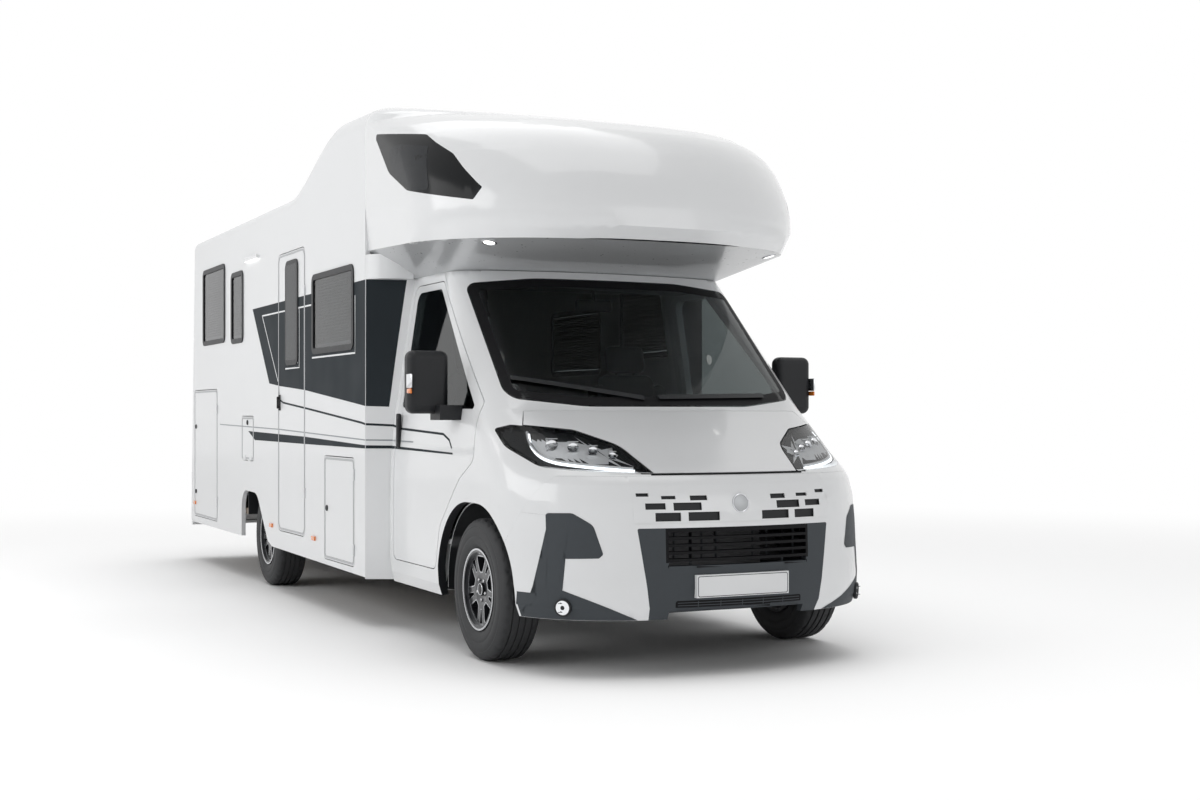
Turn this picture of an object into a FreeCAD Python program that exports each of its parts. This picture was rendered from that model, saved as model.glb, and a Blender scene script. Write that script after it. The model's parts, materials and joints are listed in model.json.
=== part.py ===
import FreeCAD, Part
import math
import os
import Sketcher
from FreeCAD import Placement, Rotation, Vector

# Coachbuilt motorhome with a bed over the cab. Stations along the vehicle are measured from the
# front axle, forward positive; y is to the vehicle's left; heights are above the ground.
SIZES = {
    # Overall proportions
    "wheelbase": 4035, "front_overhang": 980, "rear_overhang": 2505,
    "body_width": 2300, "cab_width": 2040, "wall_thickness": 32,
    # Wheels and tracks
    "tyre_radius": 366, "tyre_width": 225, "rim_radius": 203, "rim_width": 190,
    "front_track": 1800, "rear_track": 1960, "kingpin_inset": 140, "kingpin_radius": 22,
    "tyre_gap": 0.4, "disc_radius": 148, "hub_radius": 72, "spoke_count": 5,
    # Living body, stations behind or ahead of the front axle
    "body_front": -1440, "body_rear_low": -6470, "body_rear_high": -6320, "skirt_height": 318,
    "floor_height": 500, "floor_thickness": 45, "roof_height": 2765, "overcab_height": 3105, "brow_height": 3085,
    "roof_thickness": 40, "roof_edge_radius": 75, "overcab_edge_radius": 105,
    "ramp_start": -3220, "ramp_end": -2010,
    # Bed over the cab
    "lip_height": 2185, "nose_station": 285, "nose_bow": 3000, "shell_thickness": 30,
    "soffit_half_width": 905, "soffit_front": -480,
    # Rear arch in the side walls
    "arch_rear": 545, "arch_front": 385, "arch_top": 690, "arch_slope_height": 350,
    # Windows: station of the front edge, sill height, length, height
    "window_radius": 60, "window_frame": 38, "window_gap": 1, "frame_stand": 8, "pane_thickness": 6,
    "bed_window_front": -5140, "bed_window_sill": 1845, "bed_window_length": 830, "bed_window_height": 640,
    "bath_window_front": -4515, "bath_window_sill": 1820, "bath_window_length": 405, "bath_window_height": 560,
    "dinette_window_front": -1660, "dinette_window_sill": 1660, "dinette_window_length": 925,
    "dinette_window_height": 525, "kitchen_window_front": -2900, "kitchen_window_sill": 1560,
    "kitchen_window_length": 900, "kitchen_window_height": 500,
    # Doors and hatches of the living body
    "door_front": -2765, "door_sill": 450, "door_length": 700, "door_height": 1940, "door_radius": 60,
    "door_window_offset": 165, "door_window_sill": 1605, "door_window_length": 325,
    "door_window_height": 725, "panel_gap": 6,
    "garage_front": -5430, "garage_sill": 390, "garage_length": 900, "garage_height": 1080,
    "service_front": -1660, "service_sill": 345, "service_length": 640, "service_height": 655,
    "flap_front": -4190, "flap_sill": 920, "flap_length": 380, "flap_height": 330, "hatch_radius": 30,
    "hinge_radius": 6, "hinge_length": 70, "hinge_leaf": 34,
    # Cab shell
    "cab_skin": 45, "cab_floor_height": 560, "belt_height": 1300, "bonnet_height": 975,
    "cab_bottom": 280, "cab_roof_height": 2075, "seam": 5, "glass_thickness": 6, "front_arch_radius": 445,
    "front_arch_forward": 15, "front_arch_back": -110, "well_skin": 6,
    "door_hinge_station": -40, "cab_door_rear": -1300, "cab_door_sill": 420, "cab_door_top": 2020,
    # Chassis
    "rail_spread": 960, "rail_width": 60, "rail_height": 165, "rail_wall": 6, "crossmember": 60,
    "plate_depth": 6, "towbar_bolt": 13, "towbar_pitch_across": 880, "towbar_pitch_up": 60,
    # Running gear under the floor
    "spring_width": 60,
    # Bumper at the rear
    "bumper_low": 300, "bumper_high": 760,
    # Cab fittings
    "seat_width": 520, "seat_spread": 1000, "steering_wheel_radius": 195, "mirror_reach": 1262,
    # Roof lights
    "skylight_length": 500, "skylight_width": 700, "skylight_height": 90,
}


class Length:
    """A size and the sheet formula that gives it, so that sums of sizes stay bound to the sheet."""

    def __init__(self, number, formula):
        self.number = float(number)
        self.formula = formula

    def joined(self, other, sign, number):
        right = other.formula if isinstance(other, Length) else repr(other)
        return Length(number, f"({self.formula} {sign} {right})")

    def __float__(self):
        return self.number

    def __add__(self, other):
        return self.joined(other, "+", self.number + float(other))

    def __sub__(self, other):
        return self.joined(other, "-", self.number - float(other))

    def __mul__(self, other):
        return self.joined(other, "*", self.number * float(other))

    def __truediv__(self, other):
        return self.joined(other, "/", self.number / float(other))

    def __neg__(self):
        return Length(-self.number, f"(0 - {self.formula})")


document = FreeCAD.newDocument("motorhome")
sheet = document.addObject("Spreadsheet::Sheet", "Sizes")
for row, (alias, number) in enumerate(SIZES.items(), start=1):
    sheet.set(f"A{row}", alias)
    sheet.set(f"B{row}", str(number))
    sheet.setAlias(f"B{row}", alias)
document.recompute()


class Sheet:
    """The driving dimensions as lengths, read by name."""

    def __getattr__(self, alias):
        return Length(sheet.get(alias), f"Sizes.{alias}")


size = Sheet()
ZERO = Length(0, "0")
overall_length = size.front_overhang + size.wheelbase + size.rear_overhang
axle_shift = overall_length / 2 - size.front_overhang
half_body = size.body_width / 2
half_cab = size.cab_width / 2
wall_inside = half_body - size.wall_thickness
nodes = []


def bind(thing, name, length):
    """Tie one property of an object to the sheet."""
    thing.setExpression(name, (length + 0).formula if isinstance(length, Length) else repr(length))


def node(label, *solids, x=ZERO, y=ZERO, z=ZERO, turn=0):
    """Name a sub-part made of one or more solids and set its place on the vehicle."""
    part = document.addObject("Part::Compound", label)
    part.Label = label
    part.Links = list(solids)
    part.Placement = Placement(Vector(), Rotation(Vector(0, 0, 1), turn))
    bind(part, "Placement.Base.x", axle_shift + x)
    bind(part, "Placement.Base.y", y + 0)
    bind(part, "Placement.Base.z", z + 0)
    nodes.append(part)
    return part


def box(name, x, y, z, length, width, height):
    """Box from its lowest corner."""
    solid = document.addObject("Part::Box", name)
    for key, value in (("Length", length), ("Width", width), ("Height", height)):
        bind(solid, key, value)
    for key, value in (("x", x), ("y", y), ("z", z)):
        bind(solid, f"Placement.Base.{key}", value)
    return solid


def cylinder(name, x, y, z, radius, height, axis=Vector(0, 0, 1)):
    """Cylinder from the middle of its first face, along an axis."""
    solid = document.addObject("Part::Cylinder", name)
    solid.Placement = Placement(Vector(), Rotation(Vector(0, 0, 1), axis))
    bind(solid, "Radius", radius)
    bind(solid, "Height", height)
    for key, value in (("x", x), ("y", y), ("z", z)):
        bind(solid, f"Placement.Base.{key}", value)
    return solid


def fuse(name, *solids):
    """Union of several objects."""
    result = document.addObject("Part::MultiFuse", name)
    result.Shapes = list(solids)
    result.Refine = True
    return result


def cut(name, base, tool):
    """First object less the second."""
    result = document.addObject("Part::Cut", name)
    result.Base = base
    result.Tool = tool
    return result


def mirrored(name, source):
    """Copy of an object on the vehicle's other side."""
    result = document.addObject("Part::Mirroring", name)
    result.Source = source
    result.Normal = Vector(0, 1, 0)
    return result


def feature(name, shape):
    """Object that holds a shape worked out from the sheet's sizes."""
    result = document.addObject("Part::Feature", name)
    result.Shape = shape
    return result


def body(name):
    """Empty PartDesign body."""
    return document.addObject("PartDesign::Body", name)


def corner_arc(sketch, points, radii, index):
    """Arc that rounds one corner, with the positions of its incoming and outgoing ends."""
    here = points[index]
    before = (points[index - 1] - here).normalize()
    after = (points[(index + 1) % len(points)] - here).normalize()
    half_angle = before.getAngle(after) / 2
    reach = radii[index] / math.tan(half_angle)
    centre = here + (before + after).normalize() * (radii[index] / math.sin(half_angle))
    ends = [here + before * reach, here + after * reach]
    left_turn = (-before).cross(after).z > 0
    first, last = ends if left_turn else reversed(ends)
    angles = [math.atan2(end.y - centre.y, end.x - centre.x) for end in (first, last)]
    if angles[1] < angles[0]:
        angles[1] += 2 * math.pi
    circle = Part.Circle(centre, Vector(0, 0, 1), radii[index])
    arc = sketch.addGeometry(Part.ArcOfCircle(circle, *angles), False)
    return arc, ends, (1, 2) if left_turn else (2, 1)


def fix_point(sketch, geometry, position, corner):
    """Hold a point of the sketch at its two sizes."""
    for kind, value in zip(("DistanceX", "DistanceY"), corner):
        constraint = Sketcher.Constraint(kind, -1, 1, geometry, position, float(value))
        index = sketch.addConstraint(constraint)
        if isinstance(value, Length):
            sketch.setExpression(f"Constraints[{index}]", value.formula)


def draw_loop(sketch, corners):
    """Closed outline through corners (x, y) or (x, y, radius), each radius a tangent arc."""
    count = len(corners)
    points = [Vector(float(corner[0]), float(corner[1]), 0) for corner in corners]
    radii = [float(corner[2]) if len(corner) > 2 else 0.0 for corner in corners]
    arcs = {}
    starts, stops = list(points), list(points)
    for index in range(count):
        if radii[index] > 0:
            arc, ends, positions = corner_arc(sketch, points, radii, index)
            arcs[index] = (arc, positions)
            stops[index], starts[index] = ends
    sides = []
    for index in range(count):
        line = Part.LineSegment(starts[index], stops[(index + 1) % count])
        sides.append(sketch.addGeometry(line, False))
    for index in range(count):
        incoming, outgoing = sides[index - 1], sides[index]
        if index in arcs:
            arc, (first, last) = arcs[index]
            sketch.addConstraint(Sketcher.Constraint("Tangent", incoming, 2, arc, first))
            sketch.addConstraint(Sketcher.Constraint("Tangent", arc, last, outgoing, 1))
            radius = sketch.addConstraint(Sketcher.Constraint("Radius", arc, radii[index]))
            if isinstance(corners[index][2], Length):
                sketch.setExpression(f"Constraints[{radius}]", corners[index][2].formula)
            mark = sketch.addGeometry(Part.Point(points[index]), True)
            sketch.addConstraint(Sketcher.Constraint("PointOnObject", mark, 1, incoming))
            sketch.addConstraint(Sketcher.Constraint("PointOnObject", mark, 1, outgoing))
            fix_point(sketch, mark, 1, corners[index][:2])
        else:
            sketch.addConstraint(Sketcher.Constraint("Coincident", incoming, 2, outgoing, 1))
            fix_point(sketch, outgoing, 1, corners[index][:2])


def draw_circle(sketch, x, y, radius):
    """Full circle at a point."""
    circle = Part.Circle(Vector(float(x), float(y), 0), Vector(0, 0, 1), float(radius))
    index = sketch.addGeometry(circle, False)
    held = sketch.addConstraint(Sketcher.Constraint("Radius", index, float(radius)))
    if isinstance(radius, Length):
        sketch.setExpression(f"Constraints[{held}]", radius.formula)
    fix_point(sketch, index, 3, (x, y))


def sketch_on(owner, role, loops, level=ZERO, circles=()):
    """Sketch of closed outlines on an origin plane of the body, at a level along its normal."""
    sketch = owner.newObject("Sketcher::SketchObject", f"{owner.Name}_outline")
    plane = next(item for item in owner.Origin.OriginFeatures if item.Role == role)
    sketch.AttachmentSupport = [(plane, "")]
    sketch.MapMode = "FlatFace"
    bind(sketch, "AttachmentOffset.Base.z", level + 0)
    for loop in loops:
        draw_loop(sketch, loop)
    for circle in circles:
        draw_circle(sketch, *circle)
    return sketch


def padded(name, role, loops, level, thickness, circles=()):
    """Body made by one pad of closed outlines; inner outlines are openings."""
    owner = body(name)
    sketch = sketch_on(owner, role, loops, level, circles)
    pad = owner.newObject("PartDesign::Pad", f"{name}_pad")
    pad.Profile = sketch
    bind(pad, "Length", thickness)
    sketch.Visibility = False
    return owner


def revolved(name, loops):
    """Body of revolution about the y axis, drawn across y and out along z."""
    owner = body(name)
    sketch = sketch_on(owner, "YZ_Plane", loops)
    turn = owner.newObject("PartDesign::Revolution", f"{name}_revolution")
    turn.Profile = sketch
    turn.ReferenceAxis = (sketch, ["H_Axis"])
    turn.Angle = 360
    return owner


def rounded_rectangle(front, low, length, height, radius, grow=0):
    """Corners of a rectangle given by its front edge, lower edge, length and height."""
    return [
        (front - length - grow, low - grow, radius + grow),
        (front + grow, low - grow, radius + grow),
        (front + grow, low + height + grow, radius + grow),
        (front - length - grow, low + height + grow, radius + grow),
    ]


def side_level(side, inner, thickness):
    """Sketch level, along the normal of the XZ plane, of a panel on the right (1) or left (-1)."""
    return inner + 0 if side > 0 else -(inner + thickness)


def side_panel(name, side, loops, inner, thickness):
    """Upright panel on one side, between inner and inner plus thickness from the middle plane."""
    return padded(name, "XZ_Plane", loops, side_level(side, inner, thickness), thickness)


# Wheels: tyre, rim with paired spokes, and their four places.
def tyre_outline():
    """Half section of the tyre across its width, from bead to tread."""
    half = size.tyre_width / 2
    bead = size.rim_width / 2
    inner = size.rim_radius + size.tyre_gap
    over_lip = inner + 10
    shoulder = size.tyre_radius - 26
    return [
        (-bead, inner),
        (bead, inner),
        (bead, over_lip),
        (half, inner + 55, 30),
        (half, inner + 95, 60),
        (half - 10, shoulder, 30),
        (half - 30, size.tyre_radius, 18),
        (-half + 30, size.tyre_radius, 18),
        (-half + 10, shoulder, 30),
        (-half, inner + 95, 60),
        (-half, inner + 55, 30),
        (-bead, over_lip),
    ]


def rim_outline():
    """Section of the rim: barrel with a lip at each edge, and the dish that carries the spokes."""
    half = size.rim_width / 2
    wall, lip, dish = 12, 9, 34
    face = -half + 12
    inside = size.rim_radius - wall
    return [
        (face + 6, ZERO),
        (face + 58, ZERO),
        (face + 58, size.hub_radius + 0),
        (face + dish, size.hub_radius + 8),
        (face + dish, inside),
        (half + lip, inside),
        (half + lip, size.rim_radius + lip, 3),
        (half + 0.4, size.rim_radius + lip),
        (half + 0.4, size.rim_radius + 0),
        (-half - 0.4, size.rim_radius + 0),
        (-half - 0.4, size.rim_radius + lip),
        (-half - lip, size.rim_radius + lip, 3),
        (-half - lip, inside),
        (face, inside),
        (face, size.hub_radius + 8, 6),
        (face + 6, size.hub_radius - 30, 6),
    ]


def spoke_window(inner, outer, inner_half_angle, outer_half_angle, radius, middle):
    """Opening between spokes, from an inner to an outer radius, about a middle angle."""
    corners = []
    for reach, angle in ((inner, middle - inner_half_angle), (outer, middle - outer_half_angle),
                         (outer, middle + outer_half_angle), (inner, middle + inner_half_angle)):
        turn = math.radians(angle)
        corners.append((reach * math.cos(turn), reach * math.sin(turn), radius))
    return corners


def through_pocket(owner, name, loops, circles=()):
    """Openings cut right through a body, drawn on its XZ plane."""
    sketch = sketch_on(owner, "XZ_Plane", loops, circles=circles)
    pocket = owner.newObject("PartDesign::Pocket", name)
    pocket.Profile = sketch
    pocket.Type = "ThroughAll"
    pocket.SideType = "Symmetric"
    return pocket


def make_rim():
    """Alloy rim with its outer face towards negative y: paired spokes left between pocketed windows."""
    rim = revolved("rim_casting", [rim_outline()])
    outer = size.rim_radius - 24
    pair_window = spoke_window(size.hub_radius + 20, outer, 11, 20, 12, 90)
    twin_slot = spoke_window(size.hub_radius + 34, outer, 3.5, 5.5, 4, 54)
    pocket = through_pocket(rim, "spoke_windows", [pair_window, twin_slot])
    pattern = rim.newObject("PartDesign::PolarPattern", "spoke_pattern")
    pattern.Originals = [pocket]
    plane = next(item for item in rim.Origin.OriginFeatures if item.Role == "Y_Axis")
    pattern.Axis = (plane, [""])
    pattern.Angle = 360
    pattern.Occurrences = SIZES["spoke_count"]
    rim.Tip = pattern
    return rim


tyre = revolved("tyre_ring", [tyre_outline()])
rim = make_rim()
for end, station, track in (("front", ZERO, size.front_track), ("rear", -size.wheelbase, size.rear_track)):
    for side_name, side in (("right", -1), ("left", 1)):
        place = {"x": station, "y": track / 2 * side, "z": size.tyre_radius}
        turn = 0 if side < 0 else 180
        node(f"tyre_{end}_{side_name}", tyre, turn=turn, **place)
        node(f"rim_{end}_{side_name}", rim, turn=turn, **place)


# Steering knuckles: upright on the kingpin axis, stub axle, brake disc and steering arm.
def make_knuckle():
    """Knuckle of the right wheel, about the wheel's centre."""
    inset = size.kingpin_inset
    hub_face = -(size.rim_width / 2) + 12 + 58 + 0.4
    upright = cylinder("upright", ZERO, inset, Length(-130, "-130"), size.kingpin_radius, 250)
    stub = cylinder("stub_axle", ZERO, hub_face, ZERO, 34, inset - hub_face, Vector(0, 1, 0))
    disc = cylinder("brake_disc", ZERO, hub_face + 40, ZERO, size.disc_radius, 22, Vector(0, 1, 0))
    caliper = box("brake_caliper", Length(-150, "-150"), hub_face + 22, Length(-60, "-60"), 70, 66, 120)
    steering_arm = box("steering_arm", Length(-150, "-150"), inset - 12, Length(-50, "-50"), 150, 24, 22)
    return fuse("knuckle", upright, stub, disc, caliper, steering_arm)


knuckle = make_knuckle()
knuckle_left = mirrored("knuckle_mirror", knuckle)
node("knuckle_right", knuckle, x=ZERO, y=-size.front_track / 2, z=size.tyre_radius)
node("knuckle_left", knuckle_left, x=ZERO, y=size.front_track / 2, z=size.tyre_radius)


# Living body: side walls with their openings, hatches and doors that fill them, and fixed windows.
roof_underside = size.roof_height - size.roof_edge_radius
RAMP_SHARES = (0, 0.08, 0.2, 0.35, 0.5, 0.65, 0.8, 0.92, 1)


def roof_line():
    """Stations of the roof from rear to front, each with its top and the radius of its long edges."""
    rows = [(size.body_rear_high + 0, size.roof_height + 0, size.roof_edge_radius + 0)]
    run = size.ramp_end - size.ramp_start
    rise = size.overcab_height - size.roof_height
    widening = size.overcab_edge_radius - size.roof_edge_radius
    for share in RAMP_SHARES:
        smooth = share * share * (3 - 2 * share)
        rows.append((size.ramp_start + run * share, size.roof_height + rise * smooth,
                     size.roof_edge_radius + widening * smooth))
    rows.append((size.body_front + 0, size.brow_height + 0, size.overcab_edge_radius + 0))
    return rows


def wall_outline():
    """Outline of a side wall: skirt with the wheel arch, front edge, and the rise to the bed."""
    axle = -size.wheelbase
    return [
        (size.body_rear_low + 0, size.skirt_height + 12, 30),
        (axle - size.arch_rear, size.skirt_height + 12, 10),
        (axle - size.arch_rear, size.arch_top + 0, 150),
        (axle - 60, size.arch_top - 10, 200),
        (axle + size.arch_front - 120, size.arch_slope_height + 0, 80),
        (axle + size.arch_front, size.skirt_height + 0, 10),
        (size.body_front + 0, size.skirt_height - 18),
    ] + [(station, top - radius) for station, top, radius in reversed(roof_line())]


def named_opening(name, grow=0):
    """Rounded rectangle from the sheet's sizes of a window, door or hatch."""
    radius = {"garage": size.hatch_radius, "service": size.hatch_radius, "flap": size.hatch_radius,
              "door": size.door_radius}.get(name, size.window_radius)
    sheet_sizes = [getattr(size, f"{name}_{part}") for part in ("front", "sill", "length", "height")]
    return rounded_rectangle(*sheet_sizes, radius, grow)


def side_opening(name):
    """Opening of a door or hatch, wider than its panel by the gap all round."""
    return named_opening(name, size.panel_gap)


RIGHT_WINDOWS = ("bed_window", "bath_window", "dinette_window")
LEFT_WINDOWS = ("bed_window", "kitchen_window", "dinette_window")
RIGHT_HATCHES = ("garage", "service", "flap")
right_holes = [side_opening(name) for name in RIGHT_HATCHES + ("door",)]
right_holes += [named_opening(name) for name in RIGHT_WINDOWS]
left_holes = [named_opening(name) for name in LEFT_WINDOWS]
thickness = size.wall_thickness
node("side_wall_right", side_panel("right_wall", 1, [wall_outline()] + right_holes, wall_inside, thickness))
node("side_wall_left", side_panel("left_wall", -1, [wall_outline()] + left_holes, wall_inside, thickness))

PIN_GAP = 0.3


def upright_hinge(name):
    """Two hinges on a panel's front edge: each a barrel just off the wall and a leaf on the panel."""
    front, sill, _, height = (getattr(size, f"{name}_{part}") for part in ("front", "sill", "length", "height"))
    axis_y = -half_body - size.hinge_radius - PIN_GAP
    pieces = []
    for n, share in enumerate((0.15, 0.85)):
        low = sill + height * share - size.hinge_length / 2
        pieces.append(cylinder(f"{name}_barrel_{n}", front + size.panel_gap / 2, axis_y, low, size.hinge_radius,
                               size.hinge_length))
        pieces.append(box(f"{name}_leaf_{n}", front - size.hinge_leaf, -half_body - 3, low,
                          size.panel_gap / 2 + size.hinge_leaf, 3, size.hinge_length))
    return pieces


def level_hinge(name):
    """Two hinges on a panel's lower edge, built like the upright ones."""
    front, sill, length, _ = (getattr(size, f"{name}_{part}") for part in ("front", "sill", "length", "height"))
    axis_y = -half_body - size.hinge_radius - PIN_GAP
    axis_z = sill - size.panel_gap / 2
    pieces = []
    for n, share in enumerate((0.25, 0.75)):
        start = front - length * share - size.hinge_length / 2
        pieces.append(cylinder(f"{name}_barrel_{n}", start, axis_y, axis_z, size.hinge_radius, size.hinge_length,
                               Vector(1, 0, 0)))
        pieces.append(box(f"{name}_leaf_{n}", start, -half_body - 3, axis_z, size.hinge_length, 3,
                          size.panel_gap / 2 + size.hinge_leaf))
    return pieces


hatch_labels = {"garage": "garage_hatch", "service": "service_hatch", "flap": "service_flap"}
for name, label in hatch_labels.items():
    panel = side_panel(f"{name}_panel", 1, [named_opening(name)], wall_inside, thickness)
    hinge = level_hinge(name) if name == "flap" else upright_hinge(name)
    node(label, fuse(f"{name}_with_hinge", panel, *hinge))

door_window = rounded_rectangle(size.door_front - size.door_window_offset, size.door_window_sill,
                                size.door_window_length, size.door_window_height, size.window_radius)
door_panel = side_panel("door_panel", 1, [named_opening("door"), door_window], wall_inside, thickness)
node("entrance_door", fuse("door_with_hinge", door_panel, *upright_hinge("door")))


def window_frame(name, side, corners_outer, corners_inner):
    """Frame that lines a window opening and stands a little proud of the wall."""
    return side_panel(name, side, [corners_outer, corners_inner], wall_inside,
                      size.wall_thickness + size.frame_stand)


def grown(corners, amount):
    """Rounded outline moved outwards by an amount, inwards if it is negative."""
    middle_x = sum(float(corner[0]) for corner in corners) / len(corners)
    middle_z = sum(float(corner[1]) for corner in corners) / len(corners)
    moved = []
    for x, z, radius in corners:
        step_x = amount if float(x) > middle_x else -amount
        step_z = amount if float(z) > middle_z else -amount
        moved.append((x + step_x, z + step_z, radius + amount))
    return moved


def window_set(prefix, side, windows):
    """Frames, panes and blinds of one side."""
    frames, panes, blinds = [], [], []
    for name in windows:
        hole = named_opening(name)
        sight = grown(hole, -size.window_frame)
        frames.append(window_frame(f"{prefix}_{name}_frame", side, grown(hole, -size.window_gap), sight))
        panes.append(side_panel(f"{prefix}_{name}_pane", side, [grown(sight, -0.3)],
                                half_body - size.pane_thickness, size.pane_thickness))
        blinds.append(side_panel(f"{prefix}_{name}_blind", side, [grown(sight, -0.3)], wall_inside, 8))
    return frames, panes, blinds


right_set = window_set("right", 1, RIGHT_WINDOWS)
left_set = window_set("left", -1, LEFT_WINDOWS)
for label, right, left in zip(("window_frames", "window_panes", "window_blinds"), right_set, left_set):
    node(label, *right, *left)
door_sight = grown(door_window, -size.window_frame)
door_frame = window_frame("door_window_frame", 1, grown(door_window, -size.window_gap), door_sight)
door_pane = side_panel("door_window_pane", 1, [grown(door_sight, -0.3)],
                       half_body - size.pane_thickness, size.pane_thickness)
node("entrance_door_window", door_frame, door_pane)


# Rear wall, floor and roof.
def profile_across(name, corners, half_width):
    """Side profile padded across the vehicle between minus and plus half a width."""
    return padded(name, "XZ_Plane", [corners], -half_width, half_width * 2)


rear_wall_foot = size.skirt_height + 12
rear_slope = [
    (size.body_rear_low + 0, rear_wall_foot),
    (size.body_rear_low + size.wall_thickness, rear_wall_foot),
    (size.body_rear_high + size.wall_thickness, roof_underside),
    (size.body_rear_high + 0, roof_underside),
]
node("rear_wall", profile_across("rear_panel", rear_slope, wall_inside))

wheel_box_half = 455
wheel_box_inner = 700
floor_front = size.body_front + 0
floor_rear = size.body_rear_low + size.wall_thickness + 15
floor_right = -(wall_inside - size.panel_gap)
floor_left = wall_inside - 0.3
box_front = -size.wheelbase + wheel_box_half
box_rear = -size.wheelbase - wheel_box_half
well_inner = wall_inside - 330
floor_corners = [
    (floor_rear, floor_right), (box_rear, floor_right), (box_rear, ZERO - wheel_box_inner),
    (box_front, ZERO - wheel_box_inner), (box_front, floor_right),
    (size.door_front - size.door_length, floor_right), (size.door_front - size.door_length, -well_inner),
    (size.door_front + 0, -well_inner), (size.door_front + 0, floor_right),
    (floor_front, floor_right), (floor_front, floor_left),
    (box_front, floor_left), (box_front, ZERO + wheel_box_inner),
    (box_rear, ZERO + wheel_box_inner), (box_rear, floor_left), (floor_rear, floor_left),
]
floor = padded("floor_sandwich", "XY_Plane", [floor_corners], size.floor_height, size.floor_thickness)
step = box("entrance_step", size.door_front - size.door_length, floor_right, size.floor_height - 62,
           size.door_length, -well_inner - floor_right, 22)
riser = box("step_riser", size.door_front - size.door_length, -well_inner - 20, size.floor_height - 62,
            size.door_length, 20, size.floor_thickness + 62)
node("floor_panel", fuse("floor_with_step", floor, step, riser))


# Volumes of the cab and of the bed over it, drawn as level outlines with a bowed nose.
def level_wire(height, back, nose, half_width, corner, bow, climb=0.0):
    """Closed outline: square back, straight sides, round corners and a bowed front.

    It is level, or climbs from its nose to its back.
    """
    lean = math.atan2(climb, nose - back)
    back = nose + (back - nose) / math.cos(lean)
    bow_centre = Vector(nose - bow, 0, height)
    side_centre_y = half_width - corner
    reach = math.sqrt((bow - corner) ** 2 - side_centre_y ** 2)
    corner_centre = Vector(bow_centre.x + reach, side_centre_y, height)
    outward = (corner_centre - bow_centre).normalize()
    join = bow_centre + outward * bow
    half_way = (outward + Vector(0, 1, 0)).normalize()
    middle = corner_centre + half_way * corner
    side = Vector(corner_centre.x, half_width, height)

    def other(point):
        return Vector(point.x, -point.y, point.z)
    tip = Vector(nose, 0, height)
    rear_right, rear_left = Vector(back, -half_width, height), Vector(back, half_width, height)
    wire = Part.Wire([
        Part.makeLine(rear_right, other(side)), Part.Arc(other(side), other(middle), other(join)).toShape(),
        Part.Arc(other(join), tip, join).toShape(), Part.Arc(join, middle, side).toShape(),
        Part.makeLine(side, rear_left), Part.makeLine(rear_left, rear_right)])
    wire.rotate(tip, Vector(0, 1, 0), math.degrees(lean))
    return wire


def level_solid(levels, back, inset):
    """Solid through outlines (height, nose, half width, corner, bow, climb), drawn in by an inset."""
    wires = [level_wire(height, back, nose - inset, half_width - inset, corner - inset, bow - inset, *climb)
             for height, nose, half_width, corner, bow, *climb in levels]
    return Part.makeLoft(wires, True, True)


cab_half = float(half_cab)
nose_tip = float(size.front_overhang - size.plate_depth)
bonnet_z = float(size.bonnet_height)
belt_z = float(size.belt_height)
cab_top_z = float(size.cab_roof_height)
cab_low_z = float(size.cab_bottom)
cab_back = float(size.body_front) + 75


def cab_volume(inset, open_end=0.0):
    """Cab's outer volume drawn in by an inset; an open end runs on through the rear and below."""
    levels = [
        (cab_low_z - open_end, nose_tip - 40, cab_half - 26, 610, 2200),
        (cab_low_z + 60, nose_tip - 8, cab_half - 8, 640, 2200),
        (cab_low_z + 160, nose_tip, cab_half, 660, 2200),
        (cab_low_z + 310, nose_tip - 4, cab_half, 680, 2200),
        (cab_low_z + 440, nose_tip - 9, cab_half, 690, 2200),
        (cab_low_z + 570, nose_tip - 24, cab_half, 700, 2200),
        (bonnet_z - 40, nose_tip - 58, cab_half - 2, 700, 2200),
        (bonnet_z, nose_tip - 102, cab_half - 4, 690, 2200),
        (bonnet_z + 40, nose_tip - 178, cab_half - 6, 650, 2250),
        (bonnet_z + 95, nose_tip - 285, cab_half - 9, 600, 2300),
        (bonnet_z + 200, nose_tip - 475, cab_half - 18, 480, 2500),
        (belt_z, nose_tip - 710, cab_half - 35, 320, 2800),
        (cab_top_z - min(inset, 45), nose_tip - 1525, cab_half - 150, 200, 2700)]
    return level_solid(levels, cab_back - open_end, inset)


def rounded_wire(corners, to_point):
    """Closed wire through corners (u, v) or (u, v, radius) mapped to space."""
    count = len(corners)
    flat = [Vector(corner[0], corner[1], 0) for corner in corners]
    edges, joins = [], []
    for index, corner in enumerate(corners):
        radius = corner[2] if len(corner) > 2 else 0
        before = (flat[index - 1] - flat[index]).normalize()
        after = (flat[(index + 1) % count] - flat[index]).normalize()
        if radius == 0:
            joins.append((flat[index], None, flat[index]))
            continue
        half_angle = before.getAngle(after) / 2
        reach = radius / math.tan(half_angle)
        centre = flat[index] + (before + after).normalize() * (radius / math.sin(half_angle))
        middle = centre - (before + after).normalize() * radius
        joins.append((flat[index] + before * reach, middle, flat[index] + after * reach))
    for index, (start, middle, stop) in enumerate(joins):
        if middle is not None:
            edges.append(Part.Arc(*(to_point(point.x, point.y) for point in (start, middle, stop))).toShape())
        following = joins[(index + 1) % count][0]
        if stop.distanceToPoint(following) > 1e-6:
            edges.append(Part.makeLine(to_point(stop.x, stop.y), to_point(following.x, following.y)))
    return Part.Wire(edges)


def side_prism(corners, near, far):
    """Prism of an outline (x, z) between two distances from the middle plane."""
    wire = rounded_wire(corners, lambda u, v: Vector(u, near, v))
    return Part.Face(wire).extrude(Vector(0, far - near, 0))


def front_prism(corners, near, far):
    """Prism of an outline (y, z) between two stations."""
    wire = rounded_wire(corners, lambda u, v: Vector(near, u, v))
    return Part.Face(wire).extrude(Vector(far - near, 0, 0))


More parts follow.
